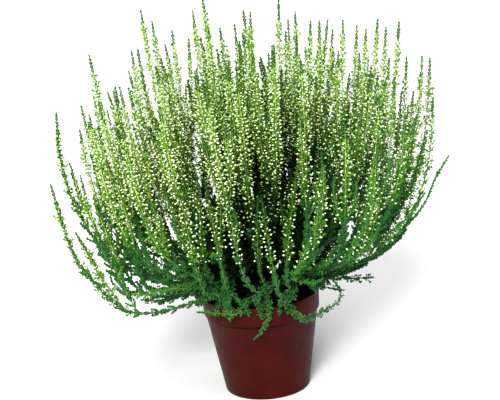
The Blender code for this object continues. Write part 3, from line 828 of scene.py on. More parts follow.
def grow_shoots():
    """All shoots. A flowering stem has a main shoot from the crown and a side one that forks from it."""
    chance = random.Random(SEED)
    crown = Vector((0, 0, CROWN_HEIGHT))
    firm_points = [[Vector(point) * MM for point in points] for points in (*LOW_BRANCHES, *TWIGS.values())]
    low_tips = [points[-1] for points in firm_points[: len(LOW_BRANCHES)]]
    tips = shoot_tips(chance, low_tips)
    pairs = [(low_tip, take_nearest(tips, low_tip)) for low_tip in low_tips]
    tips.sort(key=lambda tip: -math.hypot(tip.x, tip.y))
    while tips:
        first = tips.pop(0)
        pairs.append((first, take_nearest(tips, first)))
    middles = [middle_of(main_tip) for main_tip, _ in pairs[len(low_tips) :]]
    directions = [(points[1] - crown).normalized() for points in firm_points]
    directions += [(middle - crown).normalized() for middle in middles]
    spread_directions(directions)
    seats = [crown + direction * (STUB_REACH + FIT) for direction in directions]
    mains = []
    for number, seat in enumerate(seats):
        if number < len(firm_points):
            course = smooth_course([seat, *firm_points[number][1:]], SHOOT_POINTS)
            girth = 1 if number < len(low_tips) else TWIG_GIRTH
            mains.append(Shoot(number, course, firm=True, girth=girth))
            continue
        middle = middles[number - len(firm_points)]
        bend = middle + Vector([chance.uniform(-MAIN_WANDER, MAIN_WANDER) for _ in range(3)])
        lead = seat + directions[number] * (bend - seat).length * MAIN_LEAD
        tip = pairs[number - len(TWIGS)][0]
        mains.append(Shoot(number, evened(bezier(seat, lead, bend, tip), SHOOT_POINTS)))
    twigs = mains[len(low_tips) : len(firm_points)]
    stems = mains[: len(low_tips)] + mains[len(firm_points) :]
    sides = []
    for main, (_, side_tip) in zip(stems, pairs):
        fork = round(SHOOT_POINTS * chance.uniform(*FORK_SHARE))
        root = main.course[fork]
        lead = root + fork_heading(main, fork, side_tip) * (side_tip - root).length * SIDE_LEAD
        height = lead.z + SIDE_RISE * (side_tip.z - lead.z)
        bend = lead.lerp(Vector((side_tip.x * SIDE_OUT, side_tip.y * SIDE_OUT, height)), SIDE_BEND)
        sides.append(Shoot(main.stem, evened(bezier(root, lead, bend, side_tip), SHOOT_POINTS), main, fork))
    skirts = skirt_shoots(stems, chance)
    spread_shoots(stems + sides + skirts + twigs)
    grown = [[shoot for shoot in stems + sides + skirts if shoot.stem == main.stem] for main in stems]
    return grown, twigs, directions


class Track:
    """A shoot's course with a frame of directions carried along it without twisting."""

    def __init__(self, course, turn):
        self.course = course
        self.lengths = lengths_along(course)
        self.total = self.lengths[-1]
        facing = Vector((math.cos(turn), math.sin(turn), 0.2))
        self.facings = []
        for number in range(len(course)):
            ahead = course[min(number + 1, len(course) - 1)] - course[max(number - 1, 0)]
            facing = square_to(ahead.normalized(), facing)
            self.facings.append(facing)

    def at(self, along):
        """Centre, heading and a sideways direction at a length along the course."""
        step, share = step_at(self.lengths, along)
        here, after = self.course[step], self.course[step + 1]
        from_behind = after - self.course[max(step - 1, 0)]
        to_ahead = self.course[min(step + 2, len(self.course) - 1)] - here
        heading = from_behind.normalized().lerp(to_ahead.normalized(), share).normalized()
        facing = square_to(heading, self.facings[step].lerp(self.facings[step + 1], share))
        return here.lerp(after, share), heading, facing

    def out_from(self, along, around):
        """Centre, heading, and the direction that points out from the course at an angle around it."""
        centre, heading, facing = self.at(along)
        return centre, heading, facing * math.cos(around) + heading.cross(facing) * math.sin(around)

    def growing_out(self, along, around, lean, size=1.0, fullness=1.0):
        """Where a small piece sits that leaves the stem at an angle around it, and leans away from it."""
        centre, heading, out = self.out_from(along, around)
        rise = heading * math.cos(lean) + out * math.sin(lean)
        towards = heading * math.sin(lean) - out * math.cos(lean)
        turn = Matrix((towards, rise.cross(towards), rise)).transposed().to_4x4()
        wide = size * fullness
        return Matrix.Translation(centre) @ turn @ Matrix.Diagonal((wide, wide, size, 1))


class Stamp:
    """A small template mesh that is copied into a growing one."""

    def __init__(self, bm, name, material=None):
        if material is not None:
            for face in bm.faces:
                face.material_index = material
        self.mesh = mesh_of(bm, name)
        self.rest = [0.0] * (3 * len(self.mesh.vertices))
        self.mesh.vertices.foreach_get("co", self.rest)

    def press(self, bm, place):
        self.mesh.transform(place)
        bm.from_mesh(self.mesh)
        self.mesh.vertices.foreach_set("co", self.rest)


def add_cone(bm, foot, tip, depth, place, sides=3):
    """A closed taper along a placement's own z axis, with its middle there."""
    bmesh.ops.create_cone(
        bm, cap_ends=True, segments=sides, radius1=foot, radius2=tip, depth=depth, matrix=place
    )


def add_leaf(bm, place, length):
    """One small blunt leaf along a placement's own z axis, narrow at its foot."""
    upside_down = Matrix.Rotation(math.pi, 4, "X")
    middle = place @ Matrix.Translation((0, 0, length / 2)) @ upside_down
    add_cone(bm, length * LEAF_WIDTH / 2, 0, length, middle)


def curved_track(length, bend, count=7):
    """A short course that starts along z and bends towards x by an angle in all."""
    points = [Vector()]
    for step in range(count - 1):
        angle = bend * step / (count - 1)
        points.append(points[-1] + Vector((math.sin(angle), 0, math.cos(angle))) * length / (count - 1))
    return Track(points, 0)


def leaf_stamp(material):
    """A leaf one unit long, so that a placement gives its size."""
    bm = bmesh.new()
    add_leaf(bm, Matrix.Identity(4), 1.0)
    return Stamp(bm, "leaf", material)


def twig_stamp(number, leaf_length, pairs):
    """A cord-like twig of one unit: blunt leaves in crossed pairs that overlap, and close at its end."""
    chance = random.Random(number)
    bm = bmesh.new()
    track = curved_track(1.0, math.radians(chance.uniform(10, 35)))
    add_cone(bm, 0.1, 0.04, 0.85, track.growing_out(0.4, 0, 0))
    for pair in range(pairs):
        along = 0.08 + (0.9 - leaf_length) * pair / (pairs - 1)
        size = leaf_length * (1 - 0.3 * (along**3)) * chance.uniform(0.9, 1.1)
        for side in range(2):
            around = math.pi * side + math.pi / 2 * (pair % 2) + chance.uniform(-0.2, 0.2)
            lean = math.radians(chance.uniform(11, 20) - 6 * along)
            add_leaf(bm, track.growing_out(along, around, lean), size)
    return Stamp(bm, f"twig_{number}")


def tuft_stamp(number, material):
    """A short side twig of one unit: three pairs of spreading leaves."""
    chance = random.Random(TUFT_SEED + number)
    bm = bmesh.new()
    track = curved_track(1.0, math.radians(chance.uniform(-10, 25)))
    add_cone(bm, 0.06, 0, 0.8, Matrix.Translation((0, 0, 0.4)))
    for pair in range(3):
        for side in range(2):
            around = math.pi * side + math.pi / 2 * pair + chance.uniform(-0.3, 0.3)
            lean = math.radians(chance.uniform(28, 50) - 12 * pair)
            add_leaf(bm, track.growing_out(0.15 + 0.25 * pair, around, lean), chance.uniform(0.4, 0.5))
    return Stamp(bm, f"tuft_{number}", material)


def sprig_stamp(number):
    """A bud on its stalk, one unit from the stem to the bud's end, with a small leaf under the bud."""
    chance = random.Random(SPRIG_SEED + number)
    bm = bmesh.new()
    stalk = chance.uniform(0.45, 0.62)
    add_cone(bm, 0, 0.055, stalk, Matrix.Translation((0, 0, stalk / 2)))
    below = Matrix.Translation((0, 0, stalk * chance.uniform(0.2, 0.6)))
    add_leaf(bm, below @ Matrix.Rotation(chance.uniform(0.4, 0.9) * chance.choice((-1, 1)), 4, "Y"), 0.45)
    tilt = Matrix.Rotation(chance.uniform(-0.75, 0.15), 4, "Y")
    tilt = tilt @ Matrix.Rotation(chance.uniform(-0.3, 0.3), 4, "X")
    middle = Matrix.Translation((0, 0, stalk - 0.03)) @ tilt @ Matrix.Translation((0, 0, BUD_RADII[2] * 0.9))
    middle = middle @ Matrix.Diagonal((*BUD_RADII, 1))
    bud = bmesh.ops.create_uvsphere(bm, u_segments=5, v_segments=2, radius=1, matrix=middle)
    for face in {face for vert in bud["verts"] for face in vert.link_faces}:
        face.material_index = 1
        face.smooth = True
    return Stamp(bm, f"sprig_{number}")


def add_stem_tubes(bm, tubes, roundness=0):
    """Round tapered stems, drawn as curves with a bevel and turned into faces."""
    drawn = bpy.data.curves.new("stem_lines", "CURVE")
    drawn.dimensions = "3D"
    drawn.bevel_depth = 1.0
    drawn.bevel_resolution = roundness
    drawn.use_fill_caps = True
    for course, radii in tubes:
        line = drawn.splines.new("POLY")
        line.points.add(len(course) - 1)
        for number, (dot, place) in enumerate(zip(line.points, course)):
            share = number / (len(course) - 1)
            dot.co = (*place, 1)
            dot.radius = radii[0] + (radii[1] - radii[0]) * share
    carrier = add_object("stem_lines", drawn)
    graph = bpy.context.evaluated_depsgraph_get()
    mesh = bpy.data.meshes.new_from_object(carrier.evaluated_get(graph))
    before = len(bm.faces)
    bm.from_mesh(mesh)
    bm.faces.ensure_lookup_table()
    for face in bm.faces[before:]:
        face.smooth = True
        face.material_index = STEM_FINISH
    bpy.data.objects.remove(carrier)
    bpy.data.curves.remove(drawn)
    bpy.data.meshes.remove(mesh)


class Wand:
    """A shoot to be dressed as its kind is, and how long a stretch under its tip is in bud."""

    def __init__(self, kind, track, budded=0.0):
        self.kind = kind
        self.track = track
        self.budded = budded
        self.radii, self.bare, self.twig_size, self.tufted, self.crowded = WAND_FORMS[kind]
        self.spread = TWIG_SPREAD
        self.leafy = False


def bud_share(tip, chance):
    """How long a stretch of buds a wand has below its tip: longest on tall ones and on a few in front."""
    tall = smooth_rise(tip.z, 0.2, 0.33)
    front = smooth_rise(-tip.y, 0.02, 0.08) * smooth_rise(chance.random(), 0.4, 0.7)
    grown = (LEAST_IN_BUD + TALL_IN_BUD * tall) * chance.uniform(0.85, 1.2)
    return grown + FRONT_IN_BUD * front * tall


def main_wands(shoots, chance, branch_form):
    """The shoots of one stem as wands. A flat one has fewer twigs, which spread more at the left."""
    wands = []
    for shoot in shoots:
        track = Track(shoot.course, chance.uniform(0, math.tau))
        if shoot.girth != 1:
            wands.append(Wand("twig" if shoot.girth == TWIG_GIRTH else "skirt", track))
            continue
        foot, tip = shoot.course[0], shoot.course[-1]
        budded = min(bud_share(tip, chance), track.total * MOST_IN_BUD)
        flat = smooth_rise((tip - foot).angle(UP), *FLAT_FROM)
        left = smooth_rise(-tip.x, *LEFT_FROM)
        kind = "side" if shoot.parent else "branch" if branch_form else "main"
        wand = Wand(kind, track, budded)
        wand.spread = chance.uniform(15, 23) + 20 * flat * left
        wand.crowded = wand.crowded - 0.35 * flat - 0.15 * flat * left
        wand.twig_size += 0.12 * flat * left
        wand.leafy = flat > 0.5
        if kind == "branch":
            wand.spread, share, wand.twig_size = branch_form
            wand.budded = share * track.total
        wands.append(wand)
    return wands


def tree_of(points):
    """A search tree that finds the nearest of some points."""
    tree = KDTree(len(points))
    for index, point in enumerate(points):
        tree.insert(point, index)
    tree.balance()
    return tree


def seen_place(place, from_side):
    """A place as seen on the plane through the pot's axis, from the front or from the side."""
    if from_side:
        return Vector((0, place.y, place.z))
    return EYE + (place - EYE) * (EYE.y / (EYE.y - place.y))


def roomiest_way(track, foot, length, reach, view, from_side, at_edge, chance):
    """Of some ways round a wand, the angle and the spots beside it where a side wand has most room."""
    best = None
    for _ in range(WAYS_ROUND):
        around = chance.uniform(0, math.tau)
        spots = []
        for share, out in SIDE_SPOTS:
            centre, _, aside = track.out_from(foot + length * share, around)
            spots.append(centre + aside * (out * reach))
        if at_edge and math.hypot(spots[1].x, spots[1].y) > math.hypot(centre.x, centre.y):
            continue
        room = sum(min(view.find(seen_place(spot, from_side))[2], MOST_ROOM) for spot in spots)
        if best is None or room > best[0]:
            best = (room, around, spots)
    return best and best[1:]


def side_wands(parents, filled, chance, settings):
    """Shorter flowering wands close beside the tall ones, up to four to each, grown into the emptier room."""
    views = [tree_of([seen_place(place, from_side) for place in filled]) for from_side in (False, True)]
    for parent in parents:
        track = parent.track
        if not parent.budded or track.total < TALL_ENOUGH:
            continue
        at_edge = parent.kind == "branch" or abs(track.course[-1].x) > BUSH_EDGE
        places = SIDE_PLACES[: SIDE_PLACES_AT_EDGE if at_edge else None]
        for number, (nearest, furthest, reach) in enumerate(places):
            below = chance.uniform(nearest, furthest) * MM
            length = settings.wand_length * chance.uniform(0.7, 1.25)
            foot = track.total - below - length
            if foot < LOWEST_ROOTS[0]:
                foot = chance.uniform(*LOWEST_ROOTS)
                length = track.total - below - foot
            if length < SHORTEST_SIDE:
                continue
            from_side = number == SEEN_FROM_SIDE
            way = roomiest_way(track, foot, length, reach, views[from_side], from_side, at_edge, chance)
            if not way:
                continue
            around, (bend, tip) = way
            start, heading, aside = track.out_from(foot, around)
            lead = start + (heading + aside * 0.5).normalized() * length * 0.3
            course = evened(bezier(start, lead, bend + aside * 3 * MM, tip), SIDE_POINTS)
            yield Wand("beside", Track(course, around), length * 0.86)


def bowed_course(start, lead, bend, end, count, gap):
    """An even course that keeps a gap from the pot."""
    return [clear_of_pot(place, gap) for place in evened(bezier(start, lead, bend, end), count)]


def level_part(direction):
    """A direction without its rise."""
    return Vector((direction.x, direction.y, 0))


def basal_wands(parents, chance):
    """Short leafy shoots low on the main stems: two that spread, and two that stand up over the crown."""
    for parent in parents:
        if parent.kind != "main":
            continue
        for number in range(4):
            foot = (chance.uniform(2, 16) if number > 1 else chance.uniform(5, 50)) * MM
            length = chance.uniform(28, 50) * (1 if number < 3 else 1.5) * MM
            around = chance.uniform(0, math.tau)
            start, heading, aside = parent.track.out_from(foot, around)
            lead = start + (heading + aside * 0.6).normalized() * length * 0.35
            outward = level_part(start).normalized()
            towards = heading * 0.8 + aside * 0.8 + outward * 0.35 + UP * chance.uniform(0.2, 0.9)
            if number > 1:
                towards = UP - outward * 0.35 + aside * 0.4
            end = start + towards.normalized() * length
            course = bowed_course(start, lead, lead.lerp(end, 0.5), end, SHORT_POINTS, WIDE_GAP)
            yield Wand("basal", Track(course, around))


def hanging_wands(parents, chance):
    """Short leafy shoots that droop from the skirt over the pot's rim, most of them at the front."""
    for parent in parents:
        middle = parent.track.at(parent.track.total / 2)[0]
        if parent.kind != "skirt" or middle.x > 30 * MM:
            continue
        at_front = -middle.y > abs(middle.x) / 2
        for share in (0.35, 0.55, 0.8) if at_front else (0.6,):
            start, heading, _ = parent.track.at(parent.track.total * share * chance.uniform(0.85, 1.15))
            outward = level_part(start).normalized()
            outward_and_across = outward + outward.cross(UP) * chance.uniform(-1, 1) * 0.25
            end = outward_and_across.normalized() * (POT_TOP_RADIUS + chance.uniform(4, 8) * MM)
            bend = end + UP * (POT_HEIGHT + 8 * MM)
            end.z = POT_HEIGHT - chance.uniform(0, 9) * MM
            lead = start + (heading + UP * 0.5).normalized() * 6 * MM
            course = bowed_course(start, lead, bend, end, SHORT_POINTS, RIM_GAP)
            yield Wand("hanging", Track(course, chance.uniform(0, 6)))


def rising_wands(parents, chance):
    """Flowering wands that leave the flatter stems low down and turn straight up, most at the front."""
    for parent in parents:
        track = parent.track
        if parent.kind == "main" and parent.budded:
            feet = [chance.uniform(18, 60) * MM]
        elif parent.kind == "skirt":
            feet = [track.total * chance.uniform(0.3, 0.55), track.total * chance.uniform(0.6, 0.9)]
        else:
            continue
        for foot in feet:
            start, heading, facing = track.at(foot)
            at_front = -start.y > abs(start.x)
            aside_of_pot = parent.kind == "skirt" and abs(start.x) > 45 * MM
            if heading.z > STEEP_HEADING or aside_of_pot or (not at_front and chance.random() < 0.6):
                continue
            length = chance.uniform(80, 145) * MM
            aside = facing * chance.uniform(-1, 1) + heading.cross(facing) * chance.uniform(-1, 1)
            lead = start + (heading + UP * 0.3).normalized() * length * 0.25
            upwards = level_part(heading) * chance.uniform(0.05, 0.35) + UP + aside * 0.15
            end = start + upwards.normalized() * length
            bend = lead.lerp(end, 0.35) + (lead - end.lerp(start, 0.75)) * 0.25
            course = bowed_course(start, lead, bend, end, RISING_POINTS, WIDE_GAP)
            risen = Track(course, chance.uniform(0, 6))
            budded = length * (0.68 if at_front else 0.4)
            while budded > SHORTEST_IN_BUD and risen.at(risen.total - budded)[1].z < 0.8:
                budded -= 4 * MM
            yield Wand("rising", risen, budded)


def dress_tip(bm, wand, leaf, chance, settings):
    """Covers a wand's growing tip with close leaves, and gives the length along it where they end."""
    track = wand.track
    length = chance.uniform(11, 19) * MM if wand.budded else track.total * chance.uniform(0.1, 0.16)
    along = track.total - 0.3 * MM
    around = chance.uniform(0, math.tau)
    opening = 14 if wand.budded else 8
    while along > track.total - length:
        grown = smooth_rise(track.total - along, 0, 7 * MM)
        for side in range(2):
            lean = math.radians(chance.uniform(9, 16) + opening * grown)
            size = settings.leaf_length * (0.85 + 0.1 * grown) * chance.uniform(0.85, 1.15)
            leaf.press(bm, track.growing_out(along, around + math.pi * side, lean, size, TIP_FULLNESS))
        around += math.pi / 2 + chance.uniform(-0.3, 0.3)
        along -= chance.uniform(1.4, 2.0) * MM
    return along


def dress_buds(bm, buds, wand, top, foot, shapes, chance, settings, bud_settings):
    """Sets buds on stalks, short leafy tufts and loose leaves round a wand, sparser low in the bush."""
    track = wand.track
    along = top
    around = chance.uniform(0, math.tau)
    while along > foot:
        place, heading, _ = track.at(along)
        low = 1 - smooth_rise(place.z - RIGHT_LEAFINESS * max(place.x, 0.0), 0.13, 0.26)
        level = heading.z < STEEP_HEADING and place.z < LOWEST_BUDS
        grown = smooth_rise(top - along, 0.0, BUD_GROWN_FROM)
        size = bud_settings.length * chance.uniform(0.8, 1.2)
        lean = math.radians(chance.uniform(35, 60) + 20 * grown)
        if chance.random() < (1 if level else 0.09 + 0.3 * low):
            size *= 0.75 + 0.35 * grown
            tuft = chance.choice(shapes["bract_tufts"])
            tuft.press(bm, track.growing_out(along, around, lean * 0.75, size))
        else:
            size *= 0.74 + 0.21 * grown
            chance.choice(shapes["sprigs"]).press(buds, track.growing_out(along, around, lean, size))
        around += math.tau * GOLDEN + chance.uniform(-0.4, 0.4)
        sparse = 0.88 + 0.12 * grown + 1.1 * low + 3 * level
        along -= bud_settings.spacing * chance.uniform(0.75, 1.3) * sparse
    along = top
    while along > foot:
        grown = smooth_rise(top - along, 0.0, LOOSE_LEAVES_FROM)
        bract_share = BRACT_SHARE * smooth_rise(track.at(along)[0].z, 0.15, 0.3)
        for side in range(2):
            lean = math.radians(chance.uniform(30, 55))
            size = settings.leaf_length * (1.3 - 0.4 * grown) * chance.uniform(0.8, 1.1)
            leaf = shapes["bract" if chance.random() < bract_share else "leaf"]
            leaf.press(bm, track.growing_out(along, around + math.pi * side, lean, size))
        around += math.pi / 2 + chance.uniform(-0.2, 0.2)
        along -= (2.5 + 1.3 * grown) * MM


def dress_twigs(bm, wand, top, shapes, chance, settings):
    """Sets leafy twigs in crossed pairs along a wand, from under its buds down to its bare foot."""
    track = wand.track
    along = top
    around = chance.uniform(0, math.tau)
    shortest = SHORTEST_TWIG * min(wand.twig_size + 0.2, 1)
    while along > wand.bare:
        opened = 0.5 + 0.5 * smooth_rise(top - along, 0, FULL_REACH_FROM)
        opened *= 0.7 + 0.3 * smooth_rise(along - wand.bare, 0, 20 * MM)
        thinned = 0
        if wand.kind == "branch":
            thinned = BRANCH_TAPER * smooth_rise(along / track.total, 0.5, 0.8)
        for side in range(2):
            size = settings.twig_length * wand.twig_size * opened * chance.uniform(0.65, 1.2)
            size = max(size, shortest) * (1 - thinned)
            lean = math.radians(wand.spread + chance.uniform(-7, 7) + 6 * opened)
            if chance.random() < wand.tufted:
                lean += math.radians(15)
                twigs = shapes["bract_tufts" if wand.kind == "twig" and chance.random() < 0.85 else "tufts"]
            else:
                twigs = shapes["long_twigs" if size > LONG_FROM else "short_twigs"]
            root = along + chance.uniform(-1, 1) * MM
            place = track.growing_out(root, around + math.pi * side, lean, size, CORD_FULLNESS)
            chance.choice(twigs).press(bm, place)
        around += math.pi / 2 + chance.uniform(-0.3, 0.3)
        along -= settings.twig_spacing / wand.crowded * chance.uniform(0.8, 1.25)
    along = top if wand.leafy else wand.bare
    while along > wand.bare:
        for side in range(2):
            lean = math.radians(chance.uniform(12, 24))
            size = settings.leaf_length * chance.uniform(1.0, 1.3)
            place = track.growing_out(along, around + math.pi * side, lean, size, TIP_FULLNESS)
            shapes["leaf"].press(bm, place)
        around += math.pi / 2
        along -= LOOSE_LEAF_STEP


def rounded(corner, radius, start, steps=4):
    """Points of a quarter circle tucked into a corner, from an angle start in degrees, turning left."""
    angles = [math.radians(start + 90 * step / steps) for step in range(steps + 1)]
    return [(corner[0] + radius * math.cos(angle), corner[1] + radius * math.sin(angle)) for angle in angles]


def pot_radius(height):
    """The pot's outer radius under the collar."""
    body_top = POT_TOP_RADIUS - COLLAR_DRAFT - COLLAR_STEP
    return POT_BASE_RADIUS + (body_top - POT_BASE_RADIUS) * height / COLLAR_FOOT


def pot_profile():
    """Half the pot's section, as radii and heights: up the outside, over the rim and down the inside."""
    collar_radius = POT_TOP_RADIUS - COLLAR_DRAFT
    shelf = COLLAR_FOOT + POT_WALL
    under_collar = COLLAR_FOOT - LIP_ROUND
    return [
        (0, 0),
        *rounded((pot_radius(BASE_ROUND) - BASE_ROUND, BASE_ROUND), BASE_ROUND, -90),
        (pot_radius(under_collar), under_collar),
        (pot_radius(COLLAR_FOOT) + LIP_ROUND / 2, COLLAR_FOOT),
        *rounded((collar_radius - LIP_ROUND, COLLAR_FOOT + LIP_ROUND), LIP_ROUND, -90),
        *rounded((POT_TOP_RADIUS - LIP_ROUND, POT_HEIGHT - LIP_ROUND), LIP_ROUND, 0),
        (POT_TOP_RADIUS - POT_WALL, POT_HEIGHT),
        (collar_radius - POT_WALL, shelf),
        (pot_radius(shelf) - POT_WALL, shelf),
        (pot_radius(POT_FLOOR) - POT_WALL, POT_FLOOR),
        (0, POT_FLOOR),
    ]


def turned(profile, sides):
    """A closed body of revolution about +Z, from a profile that starts and ends on the axis."""
    bm = bmesh.new()
    points = [bm.verts.new((radius, 0, height)) for radius, height in profile]
    edges = [bm.edges.new(pair) for pair in zip(points, points[1:])]
    geometry = points + edges
    bmesh.ops.spin(bm, geom=geometry, axis=UP, cent=(0, 0, 0), angle=math.tau, steps=sides, use_merge=True)
    bmesh.ops.remove_doubles(bm, verts=bm.verts, dist=1e-6)
    bmesh.ops.dissolve_degenerate(bm, edges=bm.edges, dist=1e-7)
    bmesh.ops.recalc_face_normals(bm, faces=bm.faces)
    return bm


class HEATHER_OT_pot(bpy.types.Operator):
    """Make the moulded nursery pot with its collar and drain holes"""

    bl_idname = "heather.pot"
    bl_label = "Nursery Pot"

    def execute(self, context):
        settings = context.scene.heather_pot
        finishes = [pot_finish(settings)]
        body = turned(pot_profile(), settings.sides)
        pot = add_piece("nursery_pot", body, finishes, ["pot"], math.radians(35))
        holes = bmesh.new()
        for number in range(DRAIN_HOLES):
            angle = math.tau * (number + 0.5) / DRAIN_HOLES
            place = (DRAIN_CIRCLE * math.cos(angle), DRAIN_CIRCLE * math.sin(angle), 0)
            add_cone(holes, DRAIN_RADIUS, DRAIN_RADIUS, 6 * POT_FLOOR, Matrix.Translation(place), 20)
        cutter = add_object("drain_holes", mesh_of(holes, "drain_holes"))
        drill = pot.modifiers.new("Drain holes", "BOOLEAN")
        drill.operation = "DIFFERENCE"
        drill.object = cutter
        drill.solver = "EXACT"
        drilled = bpy.data.meshes.new_from_object(pot.evaluated_get(context.evaluated_depsgraph_get()))
        pot.modifiers.clear()
        pot.data = drilled
        bpy.data.objects.remove(cutter)
        return {"FINISHED"}


class HEATHER_OT_peat(bpy.types.Operator):
    """Finish the peat and strew crumbs over it"""

    bl_idname = "heather.peat"
    bl_label = "Peat"

    def execute(self, context):
        settings = context.scene.heather_peat
        finish = peat_finish(settings)
        ball = frame["nodes"]["root_ball"]
        ball.data.materials.clear()
        ball.data.materials.append(finish)
        chance = random.Random(CRUMB_SEED)
        lump = bmesh.new()
        bmesh.ops.create_icosphere(lump, subdivisions=1, radius=1)
        for vert in lump.verts:
            vert.co *= chance.uniform(0.7, 1.2)
        crumb = Stamp(lump, "crumb")
        bm = bmesh.new()
        widest = POT_TOP_RADIUS - POT_WALL - 4 * MM
        for _ in range(settings.crumbs):
            out = TRUNK_RADIUS + (widest - TRUNK_RADIUS) * math.sqrt(chance.random())
            angle = chance.uniform(0, math.tau)
            size = settings.crumb_size * chance.uniform(0.3, 1) ** 1.5
            height = PEAT_TOP + chance.uniform(0, 1.2) * MM
            place = Matrix.Translation((out * math.cos(angle), out * math.sin(angle), height))
            place = place @ Matrix.Rotation(chance.uniform(0, 3), 4, "X")
            place = place @ Matrix.Rotation(chance.uniform(0, 3), 4, "Z")
            crumb.press(bm, place @ Matrix.Diagonal((size, size * 0.8, size * 0.6, 1)))
        add_piece("peat_crumbs", bm, [finish])
        return {"FINISHED"}


class HEATHER_OT_crown(bpy.types.Operator):
    """Make the woody crown, with a round stub for every stem"""

    bl_idname = "heather.crown"
    bl_label = "Woody Crown"

    def execute(self, context):
        crown = Vector((0, 0, CROWN_HEIGHT))
        _, _, directions = grow_shoots()
        bm = bmesh.new()
        bmesh.ops.create_icosphere(bm, subdivisions=3, radius=CROWN_RADIUS, matrix=Matrix.Translation(crown))
        for vert in bm.verts:
            out = (vert.co - crown).normalized()
            knobs = math.sin(vert.co.x * 1400) + math.cos(vert.co.y * 1700 + vert.co.z * 900)
            vert.co += out * MM * knobs / 2
        for face in bm.faces:
            face.smooth = True
        trunk = [Vector((0, 0, TRUNK_FOOT)), Vector((0.3 * MM, 0, 75 * MM)), crown]
        tubes = [(trunk, (TRUNK_RADIUS, TRUNK_RADIUS * 0.9))]
        for direction in directions:
            tubes.append(([crown + direction * STUB_ROOT, crown + direction * STUB_REACH], STUB_RADII))
        add_stem_tubes(bm, tubes, 2)
        for face in bm.faces:
            face.material_index = 0
        add_piece("crown_wood", bm, [bark_finish()], ["woody_crown"])
        return {"FINISHED"}


class HEATHER_OT_shoots(bpy.types.Operator):
    """Dress every stem with leaves, leafy twigs, side wands and buds"""

    bl_idname = "heather.shoots"
    bl_label = "Leafy Shoots and Buds"

    def execute(self, context):
        settings = context.scene.heather_shoots
        bud_settings = context.scene.heather_buds
        stems, twigs, _ = grow_shoots()
        chance = random.Random(DRESSING_SEED)
        leaf, green, bract = leaf_finish(settings), stem_finish(settings), bract_finish(settings)
        bud = bud_finish(bud_settings)
        shapes = {
            "leaf": leaf_stamp(LEAF_FINISH),
            "bract": leaf_stamp(BRACT_FINISH),
            "long_twigs": [twig_stamp(number, *LONG_TWIG) for number in range(TWIG_SHAPES)],
            "short_twigs": [twig_stamp(TWIG_SHAPES + number, *SHORT_TWIG) for number in range(TWIG_SHAPES)],
            "tufts": [tuft_stamp(number, LEAF_FINISH) for number in range(TUFT_SHAPES)],
            "bract_tufts": [tuft_stamp(number, BRACT_FINISH) for number in range(TUFT_SHAPES)],
            "sprigs": [sprig_stamp(number) for number in range(SPRIG_SHAPES)],
        }
        filled = [point for shoots in stems for shoot in shoots for point in shoot.course]
        names = [*TWIGS, *(f"flowering_stem_{number:02d}" for number in range(1, len(stems) + 1))]
        for name, shoots in zip(names, [[twig] for twig in twigs] + stems):
            mains = main_wands(shoots, chance, BRANCH_FORMS.get(name))
            added = [
                *basal_wands(mains, chance),
                *hanging_wands(mains, chance),
                *rising_wands(mains, chance),
                *side_wands(mains, filled, chance, settings),
            ]
            filled += [point for wand in added for point in wand.track.course]
            bm = bmesh.new()
            buds = bmesh.new()
            for wand in mains + added:
                top = dress_tip(bm, wand, shapes["leaf"], chance, settings)
                if wand.budded:
                    foot = wand.track.total - wand.budded
                    dress_buds(bm, buds, wand, top, foot, shapes, chance, settings, bud_settings)
                    top = top if wand.kind == "branch" else min(foot + 6 * MM, top)
                dress_twigs(bm, wand, top, shapes, chance, settings)
            add_stem_tubes(bm, [(wand.track.course, wand.radii) for wand in mains + added])
            add_piece(f"{name}_leaves", bm, [leaf, green, bract], [name])
            if buds.verts:
                add_piece(f"{name}_buds", buds, [bract, bud])
            else:
                buds.free()
        return {"FINISHED"}


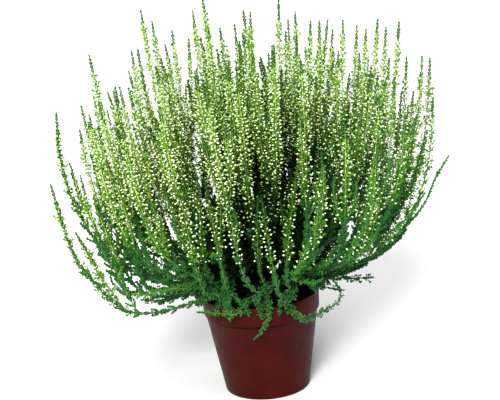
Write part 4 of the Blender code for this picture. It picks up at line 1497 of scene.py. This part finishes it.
class HEATHER_OT_stage(bpy.types.Operator):
    """Set the floor, the lights and the camera"""

    bl_idname = "heather.stage"
    bl_label = "Stage"

    def execute(self, context):
        settings = context.scene.heather_stage
        bm = bmesh.new()
        bmesh.ops.create_circle(bm, cap_ends=True, segments=96, radius=FLOOR_RADIUS)
        floor = add_object("floor", mesh_of(bm, "floor"))
        floor.data.materials.append(floor_finish(settings))

        world = bpy.data.worlds.new("studio")
        world.use_nodes = True
        sky = world.node_tree.nodes["Background"]
        sky.inputs["Color"].default_value = (1, 1, 1, 1)
        sky.inputs["Strength"].default_value = settings.sky_strength
        context.scene.world = world
        for name, strength, softness, heading in LIGHTS:
            sun = bpy.data.lights.new(name, "SUN")
            sun.energy = getattr(settings, strength)
            sun.angle = math.radians(softness)
            add_object(name, sun).rotation_euler = heading.to_track_quat("-Z", "Y").to_euler()

        level = math.cos(PITCH)
        forward = Vector((math.sin(YAW) * level, math.cos(YAW) * level, math.sin(PITCH)))
        right = forward.cross(UP).normalized()
        above = right.cross(forward)
        across = right * math.cos(ROLL) + above * math.sin(ROLL)
        upward = above * math.cos(ROLL) - right * math.sin(ROLL)
        camera = bpy.data.cameras.new("photo_view")
        camera.sensor_width = SENSOR_WIDTH
        camera.lens = SENSOR_WIDTH * FOCAL_PIXELS / PHOTO_WIDTH
        camera.clip_start, camera.clip_end = CLIPPING
        viewer = add_object("photo_view", camera)
        turn = Matrix((across, upward, -forward)).transposed().to_4x4()
        viewer.matrix_world = Matrix.Translation(CAMERA_PLACE) @ turn
        context.scene.camera = viewer
        context.scene.view_settings.view_transform = "Standard"
        return {"FINISHED"}


class HEATHER_PT_panel(bpy.types.Panel):
    bl_label = "Potted Heather"
    bl_idname = "HEATHER_PT_panel"
    bl_space_type = "VIEW_3D"
    bl_region_type = "UI"
    bl_category = "Heather"

    def draw(self, context):
        layout = self.layout
        for group, operators in (
            ("heather_pot", ("heather.pot",)),
            ("heather_peat", ("heather.peat", "heather.crown")),
            ("heather_shoots", ("heather.shoots",)),
            ("heather_buds", ()),
            ("heather_stage", ("heather.stage",)),
        ):
            settings = getattr(context.scene, group)
            box = layout.box()
            for name in settings.__annotations__:
                box.prop(settings, name)
            for operator in operators:
                box.operator(operator)


SETTINGS = {
    "heather_pot": HeatherPotSettings,
    "heather_peat": HeatherPeatSettings,
    "heather_shoots": HeatherShootSettings,
    "heather_buds": HeatherBudSettings,
    "heather_stage": HeatherStageSettings,
}
CLASSES = (
    *SETTINGS.values(),
    HEATHER_OT_pot,
    HEATHER_OT_peat,
    HEATHER_OT_crown,
    HEATHER_OT_shoots,
    HEATHER_OT_stage,
    HEATHER_PT_panel,
)


def register():
    for made in CLASSES:
        bpy.utils.register_class(made)
    for name, group in SETTINGS.items():
        setattr(bpy.types.Scene, name, bpy.props.PointerProperty(type=group))


def unregister():
    for name in SETTINGS:
        delattr(bpy.types.Scene, name)
    for made in reversed(CLASSES):
        bpy.utils.unregister_class(made)


def main():
    register()
    bpy.ops.heather.stage()
    bpy.ops.heather.pot()
    bpy.ops.heather.peat()
    bpy.ops.heather.crown()
    bpy.ops.heather.shoots()
    for mesh in list(bpy.data.meshes):
        if not mesh.users:
            bpy.data.meshes.remove(mesh)
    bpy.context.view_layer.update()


if __name__ == "__main__":
    main()
